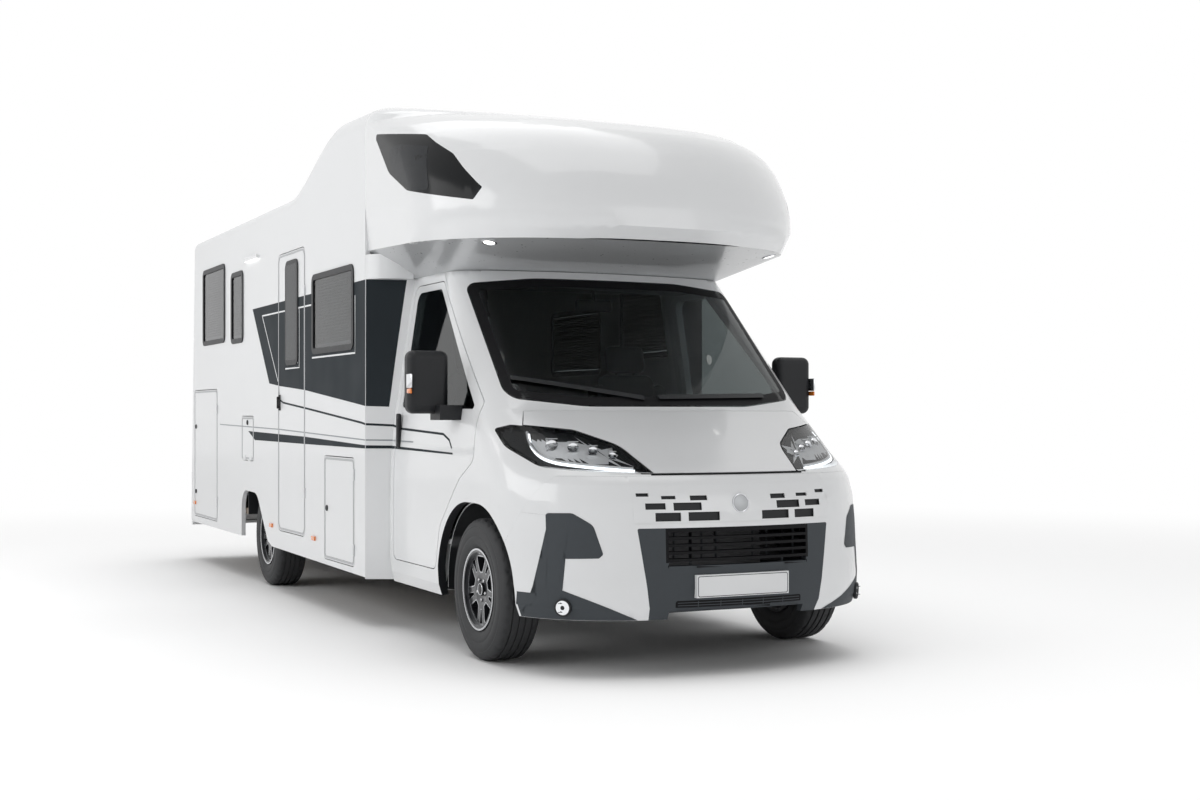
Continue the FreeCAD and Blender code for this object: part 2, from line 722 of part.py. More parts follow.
def plan_prism(corners, low, high):
    """Prism of an outline (x, y) between two heights."""
    wire = rounded_wire(corners, lambda u, v: Vector(u, v, low))
    return Part.Face(wire).extrude(Vector(0, 0, high - low))


def offset_corners(corners, amount):
    """Outline moved outwards by an amount, radii with it."""
    if amount == 0:
        return corners
    wire = rounded_wire([corner[:2] for corner in corners], lambda u, v: Vector(u, v, 0))
    face = Part.Face(wire)
    anticlockwise = face.normalAt(0, 0).z > 0
    count = len(corners)
    moved = []
    for index, corner in enumerate(corners):
        here = Vector(corner[0], corner[1], 0)
        before = (here - Vector(*corners[index - 1][:2], 0)).normalize()
        after = (Vector(*corners[(index + 1) % count][:2], 0) - here).normalize()
        outward = [Vector(way.y, -way.x, 0) * (1 if anticlockwise else -1) for way in (before, after)]
        bisector = (outward[0] + outward[1]).normalize()
        shift = amount / bisector.dot(outward[0])
        radius = corner[2] if len(corner) > 2 else 0
        moved.append((here.x + bisector.x * shift, here.y + bisector.y * shift, max(radius, 0)))
    return moved


def both_sides(shape):
    """Shape and its mirror image across the middle plane."""
    return [shape, shape.mirror(Vector(), Vector(0, 1, 0))]


seam = float(size.seam)
hinge_x = float(size.door_hinge_station)
door_rear_x = float(size.cab_door_rear)
door_sill_z = float(size.cab_door_sill)
door_top_z = float(size.cab_door_top)
CAB_DOOR = [
    (door_rear_x, door_sill_z, 50), (hinge_x - 548, door_sill_z, 60), (hinge_x - 486, 660, 150),
    (hinge_x - 190, 930, 200), (hinge_x, 1030, 60), (hinge_x, belt_z + 30, 40),
    (hinge_x - 790, door_top_z, 60), (door_rear_x, door_top_z, 70)]
CAB_DOOR_WINDOW = [
    (door_rear_x + 55, belt_z + 8, 30), (hinge_x - 45, belt_z - 4, 15),
    (hinge_x - 812, door_top_z - 40, 60), (door_rear_x + 60, door_top_z - 40, 60)]
WINDSCREEN = [
    (-868, belt_z + 52, 70), (-480, belt_z + 8, 900), (480, belt_z + 8, 900), (868, belt_z + 52, 70),
    (832, cab_top_z - 78, 60), (450, cab_top_z - 42, 900), (-450, cab_top_z - 42, 900), (-832, cab_top_z - 78, 60)]
BONNET = [
    (-300, -800), (140, -803, 40), (250, -856, 20), (420, -735, 200), (770, -470, 60), (1200, -470),
    (1200, 470), (770, 470, 60), (420, 735, 200), (250, 856, 20), (140, 803, 40), (-300, 800)]
HEADLAMP = [
    (-412, bonnet_z + 6, 8), (-470, bonnet_z + 135, 90), (-640, bonnet_z + 212, 120), (-900, bonnet_z + 242, 30),
    (-962, bonnet_z + 222, 20), (-955, bonnet_z + 130, 60), (-880, bonnet_z + 35, 60), (-760, bonnet_z + 20, 60)]
BUMPER_SIDE = [
    (300, 200), (1300, 200), (1300, bonnet_z - 6), (612, bonnet_z - 6, 30), (338, 585), (300, 585)]
CLADDING = [
    (-1300, 250), (-560, 250), (-870, 440, 30), (-872, 582, 20), (-735, 590, 30), (-790, 770, 30),
    (-1300, 830)]
GRILLE_PANEL = [
    (-540, 722, 8), (-470, 262, 8), (470, 262, 8), (540, 722, 8)]


def front_arch(radius, near, far):
    """Room of the front wheel arch between two distances from the middle plane, open below."""
    back, forward, axle_z = (float(length) for length in (
        size.front_arch_back, size.front_arch_forward, size.tyre_radius))
    outline = [
        (back - radius, -1), (forward + radius, -1), (forward + radius, axle_z + radius, radius - 0.01),
        (back - radius, axle_z + radius, radius - 0.01)]
    return side_prism(outline, near, far)


def cowl_volume(grow):
    """Upright volume behind the bowed line where the bonnet ends, grown by a clearance."""
    edge = level_wire(bonnet_z, cab_back, 285 + grow, cab_half - 35 + grow, 320 + grow, 2800 + grow)
    return Part.Face(edge).extrude(Vector(0, 0, belt_z + 100 - bonnet_z))


def screen_volume(inset, open_end=0.0):
    """Upper part of the cab alone, from the belt line to the roof."""
    levels = [
        (belt_z, nose_tip - 710, cab_half - 35, 320, 2800),
        (cab_top_z, nose_tip - 1525, cab_half - 150, 200, 2700)]
    return level_solid(levels, cab_back - open_end, inset)


door_axis_y = cab_half - 8


def door_pin(radius, low, high):
    """Pin of the right cab door's hinge, in the seam ahead of the door."""
    return Part.makeCylinder(radius, high - low, Vector(hinge_x + seam / 2, -door_axis_y, low))


def build_cab():
    """Split the cab's skin at its real panel joints."""
    outer = cab_volume(0)
    skin = outer.cut(cab_volume(float(size.cab_skin), 20))
    glass_layer = screen_volume(0).cut(screen_volume(float(size.glass_thickness), 20))
    wide = cab_half + 100
    arches = both_sides(front_arch(float(size.front_arch_radius), 555, wide))
    door_hole = side_prism(offset_corners(CAB_DOOR, seam), -wide, -600)
    door_window = side_prism(CAB_DOOR_WINDOW, -wide, -600)
    door = skin.common(side_prism(CAB_DOOR, -wide, -600)).cut(door_window)
    pane = glass_layer.common(side_prism(offset_corners(CAB_DOOR_WINDOW, -0.4), -wide, -600))
    screen_hole = front_prism(WINDSCREEN, -900, 1200)
    windscreen = glass_layer.common(front_prism(offset_corners(WINDSCREEN, -0.4), -900, 1200))
    cowl = cowl_volume(0)
    bonnet_gap = plan_prism(offset_corners(BONNET, seam), bonnet_z + 8 - seam, belt_z + 40).cut(cowl)
    lamp_hole = front_prism(HEADLAMP, 100, 1200)
    lamp_layer = outer.cut(cab_volume(80, 20))
    lamp = lamp_layer.common(front_prism(offset_corners(HEADLAMP, -0.5), 100, 1200))
    lamp_clear = front_prism(offset_corners(HEADLAMP, seam), 100, 1200)
    bonnet = skin.common(plan_prism(BONNET, bonnet_z + 8, belt_z + 40))
    bonnet = bonnet.cut([cowl_volume(seam)] + both_sides(lamp_clear))
    bumper_hole = side_prism(offset_corners(BUMPER_SIDE, 0.5), -wide, wide)
    bumper = skin.common(side_prism(BUMPER_SIDE, -wide, wide)).cut(arches + both_sides(lamp_hole))
    fender_side = [(hinge_x - 518, 200), (1300, 200), (1300, belt_z - 8), (hinge_x - 300, belt_z - 8)]
    cowl_strip = cowl.common(Part.makeBox(2000, 1600, 400, Vector(-1000, -800, 1150)))
    fender_region = side_prism(fender_side, -wide, -500).cut(cowl_strip)
    fender = skin.common(fender_region).cut([door_hole, bonnet_gap, lamp_hole, bumper_hole] + arches)
    pin_low, pin_high = 1056, 1096
    fender = fender.fuse(door_pin(4, pin_low, pin_high))
    door = door.cut(door_pin(4.3, pin_low - 0.3, pin_high + 0.3))
    shell = skin.cut(both_sides(door_hole) + both_sides(lamp_hole) + both_sides(fender_region) + arches
                     + [screen_hole, bonnet_gap, bumper_hole])
    return {
        "shell": shell, "windscreen": windscreen, "bonnet": bonnet, "lamp": lamp, "bumper": bumper,
        "fender": fender, "door": door, "pane": pane}


cab = build_cab()
cab_floor = box("cab_floor", size.body_front + 0.3, -half_cab + 60, size.cab_floor_height,
                -size.body_front + 20, size.cab_width - 120, 30)
firewall = box("firewall", ZERO + 20, -half_cab + 60, size.cab_floor_height, 25, size.cab_width - 120, 640)


def wheel_wells():
    """Liners of the front wheel arches, open below and towards the wheels."""
    near, far = 550.0, cab_half - 62
    outer_radius = float(size.front_arch_radius)
    liner = front_arch(outer_radius, near, far)
    inner = front_arch(outer_radius - float(size.well_skin), near + float(size.well_skin), far + 10)
    below = Part.makeBox(2000, 1000, 1000, Vector(-1000, near - 100, cab_low_z + 40 - 1000))
    return both_sides(liner.cut([inner, below]))


def well_cuts():
    """Room of both front wheels inside their liners."""
    return both_sides(front_arch(float(size.front_arch_radius), 550, cab_half + 100))


def build_cab_shell():
    """Cab shell with its floor and firewall, cleared for the wheels and joined to their liners."""
    room = cab_volume(float(size.cab_skin) + 0.3)
    beam = Part.makeBox(60, 1300, 90, Vector(nose_tip - 330, -650, 760))
    members = [Part.makeBox(nose_tip - 300, 50, 70, Vector(40, y - 25, 700)) for y in (-480, 480)]
    buffers = [Part.makeCylinder(16, 400, Vector(nose_tip - 300, y, 800)) for y in (-330, 330)]
    inner = [piece.common(room) for piece in [cab_floor.Shape, firewall.Shape, beam] + members + buffers]
    inner = [piece.cut(well_cuts()) for piece in inner]
    sill_top = float(size.cab_floor_height) + 2
    sills = both_sides(Part.makeBox(760, 60, sill_top - 300, Vector(cab_back + 5, -cab_half + 60, 300)))
    return cab["shell"].fuse(inner + wheel_wells() + sills)


document.recompute()
node("cab_shell", feature("cab_shell_shape", build_cab_shell()))
node("windscreen", feature("windscreen_shape", cab["windscreen"]))
node("bonnet", feature("bonnet_shape", cab["bonnet"]))
node("cab_fenders", *[feature(f"fender_{n}", s) for n, s in enumerate(both_sides(cab["fender"]))])
node("headlamps", *[feature(f"headlamp_{n}", s) for n, s in enumerate(both_sides(cab["lamp"]))])


def pane_vents(low, high, rows):
    """Slots (middle y, middle z, length, depth) as prisms."""
    return [front_prism([(y - long / 2, z - tall / 2), (y + long / 2, z - tall / 2),
                         (y + long / 2, z + tall / 2), (y - long / 2, z + tall / 2)], low, high)
            for y, z, long, tall in rows]


def build_front():
    """Bumper, its dark corner cladding and the grille panel, split from the cab's nose."""
    cladding_holes = both_sides(front_prism(CLADDING, 200, 1300))
    grille_hole = front_prism(offset_corners(GRILLE_PANEL, 0.5), 500, 1300)
    slots = []
    for z, tall, spans in ((905, 18, ((420, 90), (270, 90), (120, 90))), (862, 26, ((370, 110), (215, 150))),
                           (812, 32, ((330, 140), (150, 160)))):
        for middle, long in spans:
            slots += [(middle, z, long, tall), (-middle, z, long, tall)]
    bumper = cab["bumper"].cut(cladding_holes + [grille_hole] + pane_vents(500, 1300, slots))
    cladding = cab["bumper"].common(front_prism(offset_corners(CLADDING, -0.5), 200, 1300))
    panel = cab["bumper"].common(front_prism(GRILLE_PANEL, 500, 1300))
    bars = []
    for z in (690, 655, 620, 585, 550):
        bars.append((0, z, 780, 22))
    bars.append((0, 300, 760, 40))
    grille = panel.cut(pane_vents(500, 1300, bars))
    ribs = [Part.makeBox(20, 8, 190, Vector(nose_tip - 75, y - 4, 525)) for y in (-260, -130, 0, 130, 260)]
    return bumper, cladding, grille.fuse([rib.common(panel) for rib in ribs])


bumper_shape, cladding_shape, grille_shape = build_front()
node("front_bumper", feature("bumper_shape", bumper_shape))
node("bumper_cladding", *[feature(f"cladding_{n}", s) for n, s in enumerate(both_sides(cladding_shape))])
node("grille", feature("grille_shape", grille_shape))

for side_name, index in (("right", 0), ("left", 1)):
    node(f"cab_door_{side_name}", feature(f"cab_door_shape_{side_name}", both_sides(cab["door"])[index]))
    node(f"cab_door_glass_{side_name}", feature(f"cab_pane_{side_name}", both_sides(cab["pane"])[index]))


def build_mirror():
    """Right mirror: housing on a foot that seats on the door's skin."""
    reach = float(size.mirror_reach)
    head = Part.makeBox(110, 228, 336, Vector(hinge_x - 395, -reach, belt_z - 28))
    head = head.makeFillet(42, [edge for edge in head.Edges if edge.Length > 100])
    foot = Part.makeBox(150, reach - 150 - 985, 80, Vector(hinge_x - 375, -reach + 150, belt_z - 62))
    return head.fuse(foot)


mirror = build_mirror().cut(cab_volume(0))
for side_name, index in (("right", 0), ("left", 1)):
    node(f"mirror_{side_name}", feature(f"mirror_shape_{side_name}", both_sides(mirror)[index]))


# Bed over the cab: shell through level outlines, its roof edges rounded over, hollowed from inside.
LIP_CLIMB = 55.0
# Fronts of the bed over the cab from its crease upwards: height, nose, corner and climb.
NOSE_LEVELS = [
    (2250, 282, 930, 250), (2350, 285, 940, 200), (2450, 258, 945, 150), (2550, 208, 950, 105),
    (2650, 140, 955, 60), (2740, 50, 960, 20), (2810, -61, 960, 0), (2890, -278, 900, 0),
    (2940, -500, 800, 0)]
# The same where the roof's edge bends over, by the angle of the bend, with how far it is bowed.
BROW_LEVELS = [
    (0, -740, 620, 3000), (12, -810, 540, 3300), (24, -900, 440, 3800), (36, -1010, 330, 4600),
    (48, -1110, 240, 5800), (62, -1210, 160, 7500), (76, -1270, 110, 9000), (90, -1295, 90, 10000)]


def overcab_volume(inset):
    """Volume of the bed over the cab drawn in by an inset, which leaves it open below and behind."""
    wide, nose = float(half_body), float(size.nose_station)
    edge, bow = float(size.overcab_edge_radius), float(size.nose_bow)
    eaves = float(size.brow_height) - edge
    below = 40 if inset else 0
    levels = [(float(size.lip_height) - below, nose - 90, wide - 20, 900, bow, LIP_CLIMB)]
    levels += [(height, front, wide, corner, bow, climb) for height, front, corner, climb in NOSE_LEVELS]
    for angle, front, corner, brow_bow in BROW_LEVELS:
        turn = math.radians(angle)
        levels.append((eaves + (edge - inset) * math.sin(turn), front, wide - edge + edge * math.cos(turn),
                       corner, brow_bow))
    return level_solid(levels, float(size.body_front) + 0.3 - below, inset)


OVERCAB_WINDOW = [
    (-1272, 2903, 20), (-620, 2808, 120), (-330, 2664, 120), (-94, 2458, 10), (-123, 2393, 10),
    (-689, 2502, 200), (-1000, 2640, 200)]
overcab_solid = overcab_volume(0)
overcab_layer = overcab_solid.cut(overcab_volume(float(size.glass_thickness)))
wide = float(half_body) + 50
window_prisms = both_sides(side_prism(OVERCAB_WINDOW, -wide, -500))
pane_prism = side_prism(offset_corners(OVERCAB_WINDOW, -0.4), -wide, -500)
overcab_shell = overcab_solid.cut([overcab_volume(float(size.shell_thickness))] + window_prisms)
overcab_pane = overcab_layer.common(pane_prism)
node("overcab_shell", feature("overcab_shape", overcab_shell))
node("overcab_windows", *[feature(f"overcab_pane_{n}", s) for n, s in enumerate(both_sides(overcab_pane))])


def build_soffit():
    """Tapered underside of the bed, from the cab's roof out to the shell's lip."""
    back = float(size.body_front) + 0.3
    low, high = cab_top_z + 0.3, float(size.lip_height) - 0.3
    nose = float(size.nose_station)

    def funnel(inset, extra):
        """Ruled volume between the two outlines, run on past them when it is the hollow."""
        behind = back - 10 * (extra > 0)
        lower = level_wire(low - extra, behind, float(size.soffit_front) - 95 - inset,
                           float(size.soffit_half_width) - 40 - inset, 180, 2700)
        upper = level_wire(high + extra, behind, nose - 92 - inset, float(half_body) - 21 - inset,
                           900 - inset, float(size.nose_bow), LIP_CLIMB)
        return Part.makeLoft([lower, upper], True, True)
    return funnel(0, 0).cut(funnel(28, 0.5))


node("overcab_soffit", feature("soffit_shape", build_soffit()))


def build_corner_panel():
    """Right panel between the cab's rear edge and the wider living body."""
    back, front = float(size.body_front) + 0.3, cab_back - 0.3
    wide, deep = float(half_body), 45
    wires = []
    for height, half in ((cab_low_z + 10, cab_half - 30), (560, cab_half - 2), (belt_z, cab_half - 35),
                         (cab_top_z - 1, cab_half - 148)):
        corners = [Vector(back, -wide, height), Vector(front, -half, height),
                   Vector(front, -half + deep, height), Vector(back, -half + deep, height)]
        wires.append(Part.makePolygon(corners + corners[:1]))
    return Part.makeLoft(wires, True, True)


corner_panels = both_sides(build_corner_panel())
node("front_corner_panels", *[feature(f"corner_panel_{n}", s) for n, s in enumerate(corner_panels)])


# Roof of the living body: a flat strip and the rise to the bed, with rounded long edges.
def roof_wire(station, top, radius):
    """Closed section of the roof shell at a station, with its lower rims on the side walls."""
    wide, deep = float(half_body), float(size.roof_thickness)
    low = top - radius + 0.3

    def half_arch(inset, rise):
        bend = radius - inset
        return [(-wide + inset, low), (-wide + inset + bend * 0.293, rise - inset - bend * 0.293),
                (-wide + inset + bend, rise - inset)]
    outer = half_arch(0, top)
    inner = half_arch(deep, top)
    at = lambda pair, side=1: Vector(station, pair[0] * side, pair[1])
    edges = [
        Part.Arc(at(outer[0]), at(outer[1]), at(outer[2])).toShape(),
        Part.makeLine(at(outer[2]), at(outer[2], -1)),
        Part.Arc(at(outer[2], -1), at(outer[1], -1), at(outer[0], -1)).toShape(),
        Part.makeLine(at(outer[0], -1), at(inner[0], -1)),
        Part.Arc(at(inner[0], -1), at(inner[1], -1), at(inner[2], -1)).toShape(),
        Part.makeLine(at(inner[2], -1), at(inner[2])),
        Part.Arc(at(inner[2]), at(inner[1]), at(inner[0])).toShape(),
        Part.makeLine(at(inner[0]), at(outer[0]))]
    return Part.Wire(edges)


def build_roof():
    """Roof shell: flat over the rear, then rising to the height of the bed."""
    wires = [roof_wire(float(station), float(top), float(radius)) for station, top, radius in roof_line()]
    return Part.makeLoft(wires, True, True)


roof = build_roof()
node("roof_panel", feature("roof_shape", roof))


# Chassis under the living body, rear axle with its leaf springs, and what hangs below the floor.
def chassis_rail(name, side):
    """Channel-section rail under the floor, open towards the middle."""
    outer, wall = size.rail_spread / 2, size.rail_wall
    top = size.floor_height
    web = outer * side
    toe = (outer - size.rail_width) * side
    inner = (outer - wall) * side
    low = top - size.rail_height
    section = [(web, low), (web, top + 0), (toe, top + 0), (toe, top - wall), (inner, top - wall),
               (inner, low + wall), (toe, low + wall), (toe, low)]
    return padded(name, "YZ_Plane", [section], size.body_rear_low + 90,
                  size.body_front - size.body_rear_low + 40)


def crossmember(name, station):
    """Tube across between the rails."""
    inner = size.rail_spread / 2 - size.rail_wall
    return box(name, station, -inner, size.floor_height - size.rail_height + 40, size.crossmember,
               inner * 2, size.rail_height - 80)


def towbar_plate(name):
    """Rear crossmember plate with the bolt holes for a towbar, open to the rear."""
    across, up = size.towbar_pitch_across / 2, size.towbar_pitch_up / 2
    middle = size.floor_height - size.rail_height / 2
    holes = [(across * flip, middle + up * lift, size.towbar_bolt / 2) for flip in (-1, 1) for lift in (-1, 1)]
    half = size.rail_spread / 2
    loop = [(-half, size.floor_height - size.rail_height), (half, size.floor_height - size.rail_height),
            (half, size.floor_height + 0), (-half, size.floor_height + 0)]
    return padded(name, "YZ_Plane", [loop], size.body_rear_low + 80, 10, holes)


rails = [chassis_rail("rail_right", -1), chassis_rail("rail_left", 1)]
stations = [size.body_rear_low + 500, -size.wheelbase - 700, -size.wheelbase + 700, size.body_front - 1200,
            size.body_front - 200]
members = [crossmember(f"crossmember_{n}", station) for n, station in enumerate(stations)]
node("chassis_frame", fuse("chassis", *rails, *members, towbar_plate("towbar_plate")))

front_half = 430
front_rails = [box(f"front_rail_{n}", size.body_front + 41, ZERO + y, ZERO + 341.3,
                   -size.body_front + 700, 70, 110) for n, y in enumerate((-front_half - 35, front_half - 35))]
subframe = box("subframe", ZERO - 190, ZERO - 455, ZERO + 210, 380, 910, 60)
posts = [box(f"subframe_post_{n}_{m}", ZERO + x, ZERO + y, ZERO + 260, 50, 50, 90)
         for n, x in enumerate((-180, 130)) for m, y in enumerate((-455, 405))]
inset = size.front_track / 2 - size.kingpin_inset
arm_top = size.tyre_radius - 130 - 0.4
arms = [box(f"arm_{n}", ZERO - 45, low, arm_top - 36, 90, inset - 430 + 20, 36) for n, low in
        enumerate((-inset - 20, ZERO + 430))]
node("front_subframe", fuse("front_running_gear", *front_rails, subframe, *posts, *arms))
strut_low = size.tyre_radius + 120 + 0.4
well_top = size.tyre_radius + size.front_arch_radius - size.well_skin - 2.9
struts = []
for n, flip in enumerate((-1, 1)):
    rod = cylinder(f"strut_{n}", ZERO, inset * flip, strut_low, size.kingpin_radius - 2, well_top - strut_low)
    spring = cylinder(f"spring_{n}", ZERO, inset * flip, size.tyre_radius * 2 + 10, 60,
                      well_top - size.tyre_radius * 2 - 10)
    struts.append(fuse(f"strut_set_{n}", rod, spring))
node("front_struts", *struts)

axle_x = -size.wheelbase
rear_hub = size.rear_track / 2 + (size.rim_width / 2 - 12 - 58 - 0.4)
carrier_y = size.rear_track / 2 - 180
beam_z = 270
beam = cylinder("axle_beam", axle_x, -carrier_y, ZERO + beam_z, 40, carrier_y * 2, Vector(0, 1, 0))
axle_pieces = [beam]
for n, flip in enumerate((-1, 1)):
    stub_start = carrier_y if flip > 0 else -rear_hub
    axle_pieces.append(cylinder(f"rear_stub_{n}", axle_x, stub_start, size.tyre_radius, 34, rear_hub - carrier_y,
                                Vector(0, 1, 0)))
    plate_y = carrier_y - 20 if flip > 0 else -carrier_y - 20
    axle_pieces.append(box(f"carrier_{n}", axle_x - 50, plate_y, ZERO + beam_z - 45, 100, 40,
                           size.tyre_radius - beam_z + 95))
    spring_y = size.rail_spread / 2 + 8 if flip > 0 else -(size.rail_spread / 2) - 8 - size.spring_width
    axle_pieces.append(box(f"leaf_spring_{n}", axle_x - 650, spring_y, ZERO + beam_z + 35, 1300,
                           size.spring_width, 24))
    for m, station in enumerate((-650, 610)):
        axle_pieces.append(box(f"shackle_{n}_{m}", axle_x + station, spring_y, ZERO + beam_z + 50, 40,
                               size.spring_width, size.floor_height - beam_z - 50.3))
node("rear_axle", fuse("axle_with_springs", *axle_pieces))

tank = box("fuel_tank", size.body_front - 950, ZERO - 380, size.floor_height - 190.3, 700, 760, 190)
water = box("water_tank", -size.wheelbase - 1565, ZERO - 400, size.floor_height - 184.3, 800, 800, 184)
node("underfloor_tanks", tank, water)
engine = box("engine_mass", ZERO + 130, ZERO - 350, ZERO + 270.3, 440, 700, 560)
node("engine_block", engine)
pipe = cylinder("exhaust_pipe", size.body_front - 2060, ZERO + 200, ZERO + 290, 24, 1000, Vector(1, 0, 0))
silencer = cylinder("silencer", size.body_front - 1760, ZERO + 200, ZERO + 290, 72, 420, Vector(1, 0, 0))
hanger = box("silencer_hanger", size.body_front - 1560, ZERO + 190, ZERO + 340, 20, 20, size.floor_height - 340.3)
node("exhaust", fuse("exhaust_line", pipe, silencer, hanger))

# Housings over the rear wheels, open below and towards the walls.
box_wall = 12
housings = []
for n, flip in enumerate((-1, 1)):
    near = ZERO + wheel_box_inner + 0.3
    deep = wall_inside - near
    height = ZERO + 300
    low_y = near if flip > 0 else -wall_inside
    outer_box = box(f"housing_outer_{n}", box_rear + 0.3, low_y, size.floor_height, -(box_rear - box_front) - 0.6,
                    deep - 0.3, height)
    inner_y = near + box_wall if flip > 0 else -wall_inside - 5
    inner_box = box(f"housing_inner_{n}", box_rear + box_wall, inner_y, size.floor_height - 5,
                    -(box_rear - box_front) - 2 * box_wall, deep - box_wall + 5, height - box_wall + 5)
    housings.append(cut(f"housing_{n}", outer_box, inner_box))
node("wheel_housings", *housings)

# Rear bumper with its lamps, body markers and roof lights.
body_profile = [
    (float(size.body_rear_low), float(size.skirt_height) + 12), (1000, float(size.skirt_height) + 12),
    (1000, float(roof_underside)), (float(size.body_rear_high), float(roof_underside))]


def seated_behind(shape, gap=0.3):
    """Piece trimmed to sit on the slanted rear wall."""
    wide = float(half_body) + 10
    return shape.cut(side_prism(offset_corners(body_profile, gap), -wide, wide))


def build_rear_bumper():
    """Bumper wrapped round the rear corners, hollow towards the wall."""
    back, wall = -float(size.wheelbase + size.rear_overhang) + 6.3, 24
    wide, front = float(half_body), float(size.body_rear_low) + 60
    low, high = float(size.bumper_low), float(size.bumper_high)
    outer = plan_prism([(back, -wide, 90), (front, -wide), (front, wide), (back, wide, 90)], low, high)
    inner = plan_prism([(back + wall, -wide + wall, 66), (front + 20, -wide + wall), (front + 20, wide - wall),
                        (back + wall, wide - wall, 66)], low + wall, high - wall)
    return seated_behind(outer.cut(inner))


def build_rear_lamps():
    """Upright lamp clusters at the corners and a brake lamp high in the middle."""
    station, wide = float(size.body_rear_low) - 22, float(half_body)
    lamps = []
    for y in (-wide + 30, wide - 30 - 95):
        lamps.append(seated_behind(Part.makeBox(140, 95, 420, Vector(station, y, 820))))
    high = float(size.roof_height) - 190
    lamps.append(seated_behind(Part.makeBox(200, 320, 34, Vector(float(size.body_rear_high) - 42, -160, high))))
    return lamps


def build_plates():
    """Blank number plates: on the grille panel, and on the rear bumper."""
    front = Part.makeBox(40, 520, 110, Vector(float(size.front_overhang) - 40, -260, 385))
    rear = Part.makeBox(3, 520, 110, Vector(-float(size.wheelbase + size.rear_overhang) + 3, -260, 560))
    return front.cut(cab_volume(-0.3)), rear


rear_bumper = build_rear_bumper()
front_plate, rear_plate = build_plates()
node("rear_bumper", feature("rear_bumper_shape", rear_bumper))
node("number_plates", feature("front_plate", front_plate), feature("rear_plate", rear_plate))
node("rear_lamps", *[feature(f"rear_lamp_{n}", lamp) for n, lamp in enumerate(build_rear_lamps())])

markers = []
for n, (station, height) in enumerate(((-6300, 500), (-3650, 470), (-2540, 455))):
    for m, y in enumerate((-half_body - 12.3, half_body + 0.3)):
        markers.append(box(f"marker_{n}_{m}", ZERO + station - 35, y, ZERO + height - 14, 70, 12, 28))
markers.append(box("awning_lamp", ZERO - 4410, -half_body - 22.3, ZERO + 2425, 390, 22, 26))
node("side_lamps", *markers)

skylights = []
for n, (station, share) in enumerate(((-3745, 1), (-4750, 0.6), (-5900, 1))):
    base = box(f"skylight_{n}", ZERO + station, size.skylight_width * share / -2, size.roof_height + 0.3,
               size.skylight_length * share, size.skylight_width * share, size.skylight_height)
    skylights.append(base)
node("roof_skylights", *skylights)


# Cab fittings: wipers, fog lamps, dashboard with the steering wheel, and seats.
def build_wipers():
    """Two wiper arms with blades lying on the windscreen."""
    layer = screen_volume(-18).cut(screen_volume(-0.4))
    blades = []
    for corners in ([(-815, 1452), (-150, 1345), (-146, 1368), (-812, 1474)],
                    [(-60, 1350), (640, 1362), (640, 1385), (-62, 1372)]):
        blades.append(layer.common(front_prism(corners, -400, 600)))
    return blades


node("wipers", *[feature(f"wiper_{n}", blade) for n, blade in enumerate(build_wipers())])

DASHBOARD = [(-470, 960, 30), (-400, 1150, 50), (-230, 1225, 60), (19.7, 1225), (19.7, 830), (-120, 830, 40)]
wheel_place = Vector(-560, 420, 1150)


def build_dashboard():
    """Dashboard across the cab with the steering column and wheel on the left."""
    panel = side_prism(DASHBOARD, -880, 880)
    lean = Vector(-0.9, 0, 0.44).normalize()
    ring = Part.makeTorus(float(size.steering_wheel_radius), 15, wheel_place, lean)
    column = Part.makeCylinder(28, 330, wheel_place - lean * 310, lean)
    disc = Part.makeCylinder(58, 40, wheel_place - lean * 30, lean)
    spokes = [Part.makeBox(2 * float(size.steering_wheel_radius) - 10, 34, 14)]
    spokes[0].translate(Vector(-float(size.steering_wheel_radius) + 5, -17, -7))
    spokes[0].Placement = Placement(wheel_place, Rotation(Vector(0, 0, 1), lean)).multiply(
        Placement(Vector(), Rotation(Vector(0, 0, 1), 90))).multiply(spokes[0].Placement)
    return panel.fuse([ring, column, disc] + spokes)


node("dashboard", feature("dashboard_shape", build_dashboard()))

SEAT = [
    (-1290, 800, 20), (-760, 800, 60), (-740, 950, 50), (-1120, 930, 60), (-1235, 1480, 40), (-1225, 1700, 50),
    (-1320, 1700, 50), (-1370, 1450, 60)]
seats = []
for n, flip in enumerate((-1, 1)):
    middle = float(size.seat_spread) / 2 * flip
    half = float(size.seat_width) / 2
    seat = side_prism(SEAT, middle - half, middle + half)
    pedestal = Part.makeBox(380, 380, 211, Vector(-1200, middle - 190, 590.3))
    seats.append(feature(f"seat_{n}", seat.fuse(pedestal)))
node("cab_seats", *seats)

document.recompute()
failed = [item.Name for item in document.Objects if {"Invalid", "Error"} & set(item.State)]
broken = [part.Label for part in nodes if part.Shape.isNull() or not part.Shape.isValid()]
if failed or broken:
    raise RuntimeError(f"failed objects {failed}, broken sub-parts {broken}")
os.makedirs("parts", exist_ok=True)
for part in nodes:
    part.Shape.exportStep(f"parts/{part.Label}.step")
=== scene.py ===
"""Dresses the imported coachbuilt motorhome: finishes, graphics, glazing, lamps, wheels and cab fittings."""
import json
import logging
import math
from dataclasses import dataclass, field
from enum import Enum
from typing import Callable, Iterable, Mapping, Optional, Sequence, Union

import bmesh
import bpy
import numpy
from mathutils import Matrix, Vector
from mathutils.bvhtree import BVHTree

